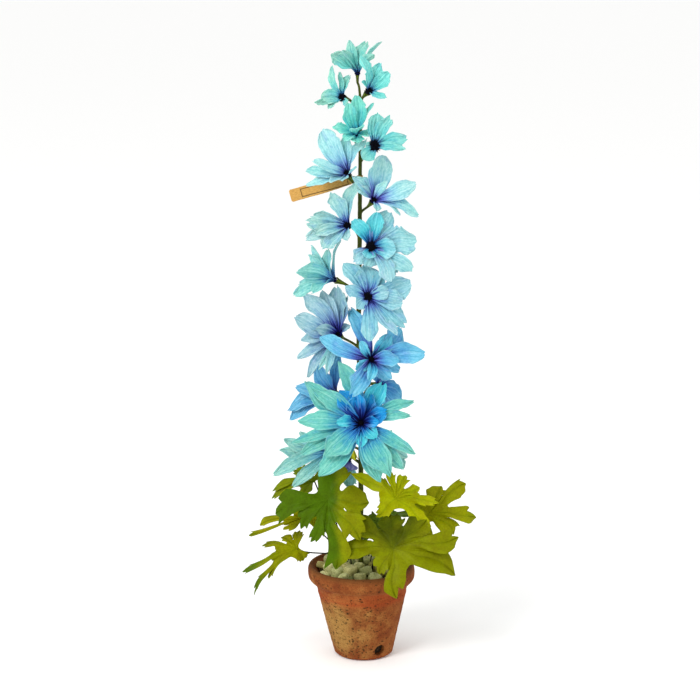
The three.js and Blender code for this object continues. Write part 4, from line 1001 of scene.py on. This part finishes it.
def make_lobe(blank, leaf, k, ribs, notches, draw):
    """Bends a blank to one lobe, between the notches that it shares with its neighbours."""
    rib = ribs[k]
    cuts = BROAD_CUTS if rib["half"] > BROAD_LOBE else NARROW_CUTS
    s, row = points_of(blank)[:, :2].T
    row = np.rint((row + 1) / 2 * LOBE_FACES).astype(int)
    wave = draw.uniform(0, 6)
    curl = draw.uniform(-.5, .9)
    sway = draw.choice((-1, 1)) * draw.uniform(.1, .28)

    def blade(share, wide):
        """A point of the lobe's bent surface."""
        spot = leaf.base + np.outer(share, rib["chord"])
        lift = 4 * LEAF_BOW * rib["length"] * share * (1 - share)
        lift = lift + LEAF_FOLD * rib["half"] * np.abs(wide) ** 1.3
        lift = lift - curl * rib["length"] * np.clip(share - .68, 0, 1) ** 2
        lift = lift + .1 * rib["half"] * np.sin(9 * share + wave + wide) * wide ** 2 * ease(share, .45, .7)
        aside = SWAY_GAIN * np.clip(share - .4, 0, 1) * (1 - share)
        aside = rib["half"] * wide + sway * rib["length"] * aside
        return spot + np.outer(lift, rib["face"]) + np.outer(aside, rib["across"])

    places = np.empty((len(s), 3))
    widths = np.empty(len(s))
    for side, notch in ((-1, notches[k - 1]), (1, notches[k])):
        away = notch - leaf.base
        share = away @ rib["chord"] / rib["length"] ** 2
        wide = away @ rib["across"] / rib["half"]
        edge = lobe_edge((share, wide), side, cuts, draw)
        hold = (1 - np.arange(LOBE_FACES + 1) / TOOTHED[0][2]).clip(0, 1) ** 2
        line = blade(edge[:, 0], edge[:, 1])
        line += np.outer(hold, notch - line[0])
        middle_share = np.linspace(0, 1, len(edge)) ** RIB_ROWS
        middle = blade(middle_share, np.zeros(len(edge)))
        part = (s * side > 0) | ((side == 1) & (np.abs(s) < 1e-6))
        out = np.abs(s[part])[:, None]
        camber = .07 * rib["half"] * np.sin(math.pi * out) * ease(middle_share[row[part]], 0, .4)[:, None]
        places[part] = middle[row[part]] * (1 - out) + line[row[part]] * out + camber * rib["face"]
        widths[part] = np.abs(s[part]) * np.linalg.norm(line - middle, axis=1)[row[part]]
    lobe = copied(blank, f"lobe {k}")
    set_points(lobe, places)
    store(lobe, "vein", "FLOAT", widths)
    return lobe


def lobe_blank():
    bpy.ops.mesh.primitive_grid_add(x_subdivisions=2 * HALF_COLUMNS, y_subdivisions=LOBE_FACES, size=2)
    return named("lobe blank")


def leaf_wire(leaf, foot, tape):
    """A leaf's taped wire: up through the filling to the collar, then out and under the leaf."""
    start = np.array((foot[0] * MM, foot[1] * MM, LEAF_FOOT))
    lean = (leaf.base - start)[:2] * LEAF_LEAN
    collar = np.array((*(start[:2] + lean), LEAF_COLLAR))
    under = leaf.base - leaf.axis * .3 * MM
    out = collar + (under - collar) * WIRE_START + (0, 0, LEAF_RISE)
    bend = collar + WIRE_BEND * (under - collar) - leaf.axis * WIRE_DROP
    line = bezier(collar, out, bend, under, 26)
    line = np.vstack([np.linspace(start, collar, 6)[:-1], line])
    return tube("leaf stalk", line, np.full(len(line), PETIOLE), tape, sides=10)


def make_leaf(number, blank, back, wire_tape):
    at, faces, foot, lobes = LEAVES[number]
    leaf = Place(at, faces)
    ribs = []
    for right, up, near, width in lobes:
        chord = np.array((right, up, near)) @ leaf.frame * MM
        along = unit(chord)
        face = unit(leaf.axis - along * (along @ leaf.axis))
        ribs.append({
            "chord": chord, "length": np.linalg.norm(chord), "half": LEAF_SPARE * width / 2 * MM,
            "face": face, "across": np.cross(face, along),
        })

    def rib_at(rib, share):
        return (leaf.base + rib["chord"] * share
                + rib["face"] * 4 * LEAF_BOW * rib["length"] * share * (1 - share))

    notches = []
    for k, rib in enumerate(ribs):
        share = LEAF_NOTCH * random.Random(f"notch {number} {k}").uniform(.72, 1.14)
        notches.append((rib_at(rib, share) + rib_at(ribs[(k + 1) % len(ribs)], share)) / 2)
    parts = [make_lobe(blank, leaf, k, ribs, notches, random.Random(f"lobe {number} {k}"))
             for k in range(len(ribs))]
    blade = joined(f"leaf_{number}_blade", parts)
    blade.data.materials.clear()
    # deep: the deep green, partly dye and partly painted shade
    green, deep, middle, right, up, out = LEAF_DYES_AND_SHADE[number]
    blade.data.materials.append(leaf_paper(f"waxed paper of leaf {number}", green, deep))
    blade.data.materials.append(back)
    in_edit_mode(blade, lambda: bpy.ops.mesh.remove_doubles(threshold=2e-5),
                 lambda: bpy.ops.mesh.flip_normals())
    away = (points_of(blade) - leaf.base) @ leaf.frame.T / DYE_REACH
    aside = np.tanh(5 * (away[:, 0] + RIB_LEAN * away[:, 1] - DEEP_GREEN_ASIDE))
    far = np.linalg.norm(away, axis=1)
    # shade: the deep green's share at each point, partly dye and partly painted shade where the leaf turns
    # from the light
    shade = middle + right * aside + up * away[:, 1] + out * far
    wave = np.sin(2.6 * away[:, 0] + 3.4 * away[:, 1] + int(number)) * ease(far, .1, .7)
    set_points(blade, points_of(blade) + np.outer(LEAF_WAVE * wave, leaf.axis))
    store(blade, "shade", "FLOAT", shade)
    with_modifier(blade, "SOLIDIFY", thickness=LEAF_PAPER, offset=0, material_offset=1)
    wire = leaf_wire(leaf, foot, wire_tape)
    finished(joined(f"leaf_{number}_paper", [blade, wire]), "leaf", f"leaf_{number}", angle=60)


# ---------------------------------------------------------------- pot

def wall_radius(height):
    return POT_BASE + (POT_TOP - POT_BASE) * height / POT_TOP_AT


def pot_profile():
    """Half of the pot's section, from the middle of its foot over the lip to the middle of its floor."""
    foot = [(0, 0), (.012, 0), (.0245, 0), (.0266, .0002), (.0283, .0009)]
    outer = []
    for z in np.linspace(.0024, POT_TOP_AT, 78):
        finger = .09 * MM * math.sin(z / .0013 + 3 * math.sin(z / .011))
        groove = .4 * MM * (math.exp(-((z - .0655) / .0012) ** 2) - math.exp(-((z - .0692) / .0014) ** 2))
        outer.append((wall_radius(z) + finger * min(1, z / .01) + groove, z))
    top = [(wall_radius(.0712), .0712), (wall_radius(POT_TOP_AT), POT_TOP_AT), (.0484, .0758),
           (.0518, .0782), (.0541, .0812), (.0548, .0856), (.0547, .0896), (.0541, .0922), (.0529, .094),
           (.0513, POT_HEIGHT), (.0499, .0938), (.0489, .092), (wall_radius(.0884) - POT_WALL, .0884)]
    lip = smooth_line(top, 54)
    inner = [(wall_radius(z) - POT_WALL, z) for z in np.linspace(.086, POT_FLOOR, 18)]
    floor = [(.016, POT_FLOOR), (.006, POT_FLOOR), (0, POT_FLOOR)]
    return foot + outer[:-1] + [tuple(p) for p in lip[5:]] + inner + floor


def turned(name, profile, steps, material):
    """Spins a profile of [radius, height] round the upright axis into a closed shape."""
    line = [(radius, 0, height) for radius, height in profile]
    made = drawn_line(name, line, np.ones(len(line)), material)
    in_edit_mode(
        made,
        lambda: bpy.ops.mesh.spin(steps=steps, angle=2 * math.pi, center=(0, 0, 0), axis=(0, 0, 1)),
        lambda: bpy.ops.mesh.select_all(action="SELECT"),
        lambda: bpy.ops.mesh.remove_doubles(threshold=2e-6),
        lambda: bpy.ops.mesh.normals_make_consistent(inside=False),
    )
    return made


def pit_depths(places):
    """How deep each point lies in a pit, from 0 to 1. The pits are fewer on one side."""
    draw = random.Random("pits")
    depth = np.zeros(len(places))
    for _ in range(PITS):
        z = draw.uniform(.003, .09)
        way = draw.uniform(-math.pi, math.pi)
        if draw.random() > .55 - .45 * math.cos(way - PIT_SIDE):
            continue
        r = wall_radius(z) if z < POT_TOP_AT else POT_LIP
        wide, tall = draw.uniform(.6, 1.5) * MM, draw.uniform(.5, 1) * MM
        run = np.hypot(places[:, 0] - r * math.cos(way), places[:, 1] - r * math.sin(way)) / wide
        reach = np.hypot(run, (places[:, 2] - z) / tall)
        depth = np.maximum(depth, np.exp(-reach ** 2))
    return depth


def make_pot(clay):
    pot = turned("terracotta_pot", pot_profile(), 240, clay)
    places = points_of(pot)
    turn = np.arctan2(places[:, 1], places[:, 0])
    radius = np.hypot(places[:, 0], places[:, 1])
    height = places[:, 2].copy()
    hand = 1 + .004 * np.sin(2 * turn + height * 60) + .003 * np.sin(3 * turn - height * 90 + 1)
    places[:, :2] *= hand[:, None]
    outside = (radius > wall_radius(height) - 2.5 * MM) & (height > .0015)
    normals = np.empty(places.size)
    pot.data.vertices.foreach_get("normal", normals)
    depth = pit_depths(places) * outside
    places -= normals.reshape(-1, 3) * (depth * PIT_DEPTH)[:, None]
    places[:, 0] += POT_LEAN * height
    set_points(pot, places)
    store(pot, "pit", "FLOAT", depth)
    turn = Matrix.Rotation(DRAIN_TURN, 4, "Z")
    bpy.ops.mesh.primitive_cylinder_add(vertices=48, radius=DRAIN_RADIUS, depth=.022)
    drill = named("drill", clay)
    out = Matrix.Translation((0, -wall_radius(DRAIN_AT), DRAIN_AT))
    drill.data.transform(turn @ out @ Matrix.Rotation(math.pi / 2, 4, "X"))
    with_modifier(pot, "BOOLEAN", operation="DIFFERENCE", solver="EXACT", object=drill)
    dropped(drill)
    finished(pot, "terracotta", "pot", angle=45)


def stone_master(stone):
    """One tumbled stone of radius 1: a cube worn round, its flats kept a little."""
    bpy.ops.mesh.primitive_cube_add(size=1.5)
    made = named("stone master", stone)
    in_edit_mode(made, lambda: bpy.ops.mesh.bevel(offset=.42, segments=3, affect="EDGES"),
                 lambda: bpy.ops.mesh.subdivide(number_cuts=1, smoothness=0))
    return with_modifier(made, "SUBSURF", levels=1, render_levels=1)


def make_pebbles(stone):
    """Two layers of stones on a jittered field, heaped a little in the middle."""
    master = stone_master(stone)
    parts = []
    rows = math.ceil(STONE_FIELD / STONE_SPACING) + 1
    for layer, (rise, size) in enumerate(((-.0085, 1), (0, .92))):
        for i in range(-rows, rows + 1):
            for j in range(-rows, rows + 1):
                draw = random.Random(f"stone {layer} {i} {j}")
                x = (j + (i % 2) / 2 + layer * .35) * STONE_SPACING + draw.uniform(-1, 1) * STONE_JITTER
                y = (i + layer * .4) * STONE_SPACING * STONE_ROW + draw.uniform(-1, 1) * STONE_JITTER
                away = math.hypot(x, y)
                if away > STONE_FIELD:
                    continue
                mound = STONE_MOUND * (1 - (away / STONE_FIELD) ** 2)
                z = STONE_LOW + mound + rise + draw.uniform(-1, 1) * STONE_HEAVE
                radius = STONE * size * draw.uniform(.72, 1.12)
                long, wide, tall = [draw.uniform(*ends) for ends in ((.8, 1.12), (.75, 1), (.62, .9))]
                spin = Matrix.Identity(4)
                for axis, least, most in (("Z", 0, 6.28), ("X", -.5, .5), ("Y", -.5, .5)):
                    spin = spin @ Matrix.Rotation(draw.uniform(least, most), 4, axis)
                pebble = copied(master, f"stone {layer} {i} {j}")
                places = points_of(pebble)
                lump = np.zeros(len(places))
                for _ in range(3):
                    wave = np.array([draw.uniform(-2.6, 2.6) for _ in range(3)])
                    lump += .07 * np.sin(places @ wave + draw.uniform(0, 6))
                set_points(pebble, places * (1 + lump)[:, None])
                spot = Matrix.Translation((x + POT_LEAN * z, y, z))
                shape = Matrix.Diagonal((long, wide, tall, 1))
                pebble.data.transform(spot @ spin @ shape @ Matrix.Scale(radius, 4))
                store(pebble, "stone", "FLOAT", np.full(len(places), draw.random()))
                parts.append(pebble)
    dropped(master)
    finished(joined("pebble_bed", parts), "pebble", "pebbles", angle=60)


# ---------------------------------------------------------------- tag

def make_tag():
    """A strip of card, a little bowed, that narrows to a neck and is looped round the stem."""
    stem = stem_point(TAG_BAND_AT)
    radius = stem_radius(TAG_BAND_AT) + .5 * MM
    along = unit(TAG_NEAR - TAG_END)
    across = np.array((-along[2], 0, along[0]))
    length = np.linalg.norm(TAG_NEAR - TAG_END)
    last = np.array((stem[0], stem[1] + radius, stem[2]))
    card = kraft_card(length)
    bpy.ops.mesh.primitive_grid_add(x_subdivisions=72, y_subdivisions=8, size=2)
    flag = named("tag flag", card)
    u, v = points_of(flag)[:, :2].T
    u = (u + 1) / 2
    bent = smooth_line([TAG_END, TAG_END + along * length * .33 + (0, .0016, 0),
                        TAG_END + along * length * .7 + (0, -.0006, 0), TAG_NEAR,
                        TAG_NEAR + (last - TAG_NEAR) * .6, last], 201)
    line = np.column_stack([np.interp(u, np.linspace(0, 1, 201), bent[:, k]) for k in range(3)])
    run = np.cumsum(np.r_[0, np.linalg.norm(np.diff(bent, axis=0), axis=1)])
    reach = np.interp(u, np.linspace(0, 1, 201), run)
    tall = np.interp(reach, [0, length * .5, length, length + .006, run[-1]],
                     [TAG_HEIGHT, TAG_HEIGHT, TAG_NECK, TAG_BAND + .001, TAG_BAND])
    round_off = 1 - np.clip(reach / TAG_CORNER, 0, 1)
    corner = TAG_CORNER * (1 - np.sqrt(1 - round_off ** 2))
    wear = .12 * MM * np.sin(reach * 900) * np.sin(reach * 370 + 1)
    half = (tall / 2 - corner) * v + wear * v
    set_points(flag, line + np.outer(half, across))
    store(flag, "flat", "FLOAT_VECTOR", np.column_stack([reach, v * tall / 2, np.zeros(len(u))]))
    with_modifier(flag, "SOLIDIFY", thickness=TAG_CARD, offset=0)
    with_modifier(flag, "BEVEL", width=.1 * MM, segments=1, limit_method="ANGLE")
    bpy.ops.mesh.primitive_cylinder_add(vertices=48, radius=radius, depth=TAG_BAND, end_fill_type="NOTHING")
    band = named("tag band", card)
    band.data.transform(Matrix.Translation(Vector(stem)))
    places = points_of(band)
    swing = np.arctan2(places[:, 1] - stem[1], places[:, 0] - stem[0])
    blank = np.zeros(len(swing))
    store(band, "flat", "FLOAT_VECTOR", np.column_stack([swing * radius - .02, blank, blank]))
    with_modifier(band, "SOLIDIFY", thickness=TAG_CARD, offset=1)
    finished(joined("kraft_tag", [flag, band]), "kraft_card", "tag", angle=40)


# ---------------------------------------------------------------- stage

def make_stage():
    """A pale floor, a pale sky all round, a soft key light from the upper left and a weak fill."""
    plain, _ = new_material("plain pale floor", Base_Color=hue("FCFCFB"), Roughness=.95,
                            Specular_IOR_Level=.1)
    bpy.ops.mesh.primitive_circle_add(vertices=64, radius=30, fill_type="NGON")
    floor = named("floor", plain)
    world = bpy.data.worlds.new("pale sky")
    world.use_nodes = True
    world.node_tree.nodes["Background"].inputs["Color"].default_value = hue("FFFFFF")
    world.node_tree.nodes["Background"].inputs["Strength"].default_value = 1
    bpy.context.scene.world = world
    middle = Vector((0, 0, .32))
    lights = (("key light", (-1.5, -1.9, 2.2), 1.2, 52), ("fill light", (2.2, -1.2, .9), 1.6, 6))
    for name, at, size, power in lights:
        light = bpy.data.lights.new(name, "AREA")
        light.shape, light.size, light.energy = "DISK", size, power
        lamp = bpy.data.objects.new(name, light)
        lamp.location = at
        lamp.rotation_euler = (middle - Vector(at)).to_track_quat("-Z", "Y").to_euler()
        bpy.context.scene.collection.objects.link(lamp)


def make_camera():
    """A long lens two metres off, looking 12 degrees down."""
    camera = bpy.data.cameras.new("camera")
    camera.lens, camera.sensor_width = 102.86, 36
    viewer = bpy.data.objects.new("camera", camera)
    viewer.location = (-.01395, -1.9563, .7337)
    viewer.rotation_euler = (math.radians(90 - 12), 0, 0)
    bpy.context.scene.collection.objects.link(viewer)
    bpy.context.scene.camera = viewer
    bpy.context.scene.view_settings.view_transform = "Standard"


# ---------------------------------------------------------------- the whole plant

def make_plant():
    blank = petal_blank()
    for number in BLOOMS:
        make_bloom(number, blank)
    dropped(blank)
    master = tuft_master(tuft_pile())
    for number in BLOOMS:
        make_centre(number, master)
    dropped(master)
    make_stem(wrapping_tape("olive floral tape", "2C3604", "545A10"))
    back = leaf_paper("back of waxed leaf paper", "8E9838", "5E7A22")
    wire_tape = wrapping_tape("dark wire tape", "0A0C06", "1C1E0A")
    blank = lobe_blank()
    for number in LEAVES:
        make_leaf(number, blank, back, wire_tape)
    dropped(blank)
    make_pot(terracotta())
    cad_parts["filling"].data.materials.clear()
    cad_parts["filling"].data.materials.append(potting_mix())
    make_pebbles(pebble_stone())
    make_tag()


make_camera()
make_stage()
make_plant()
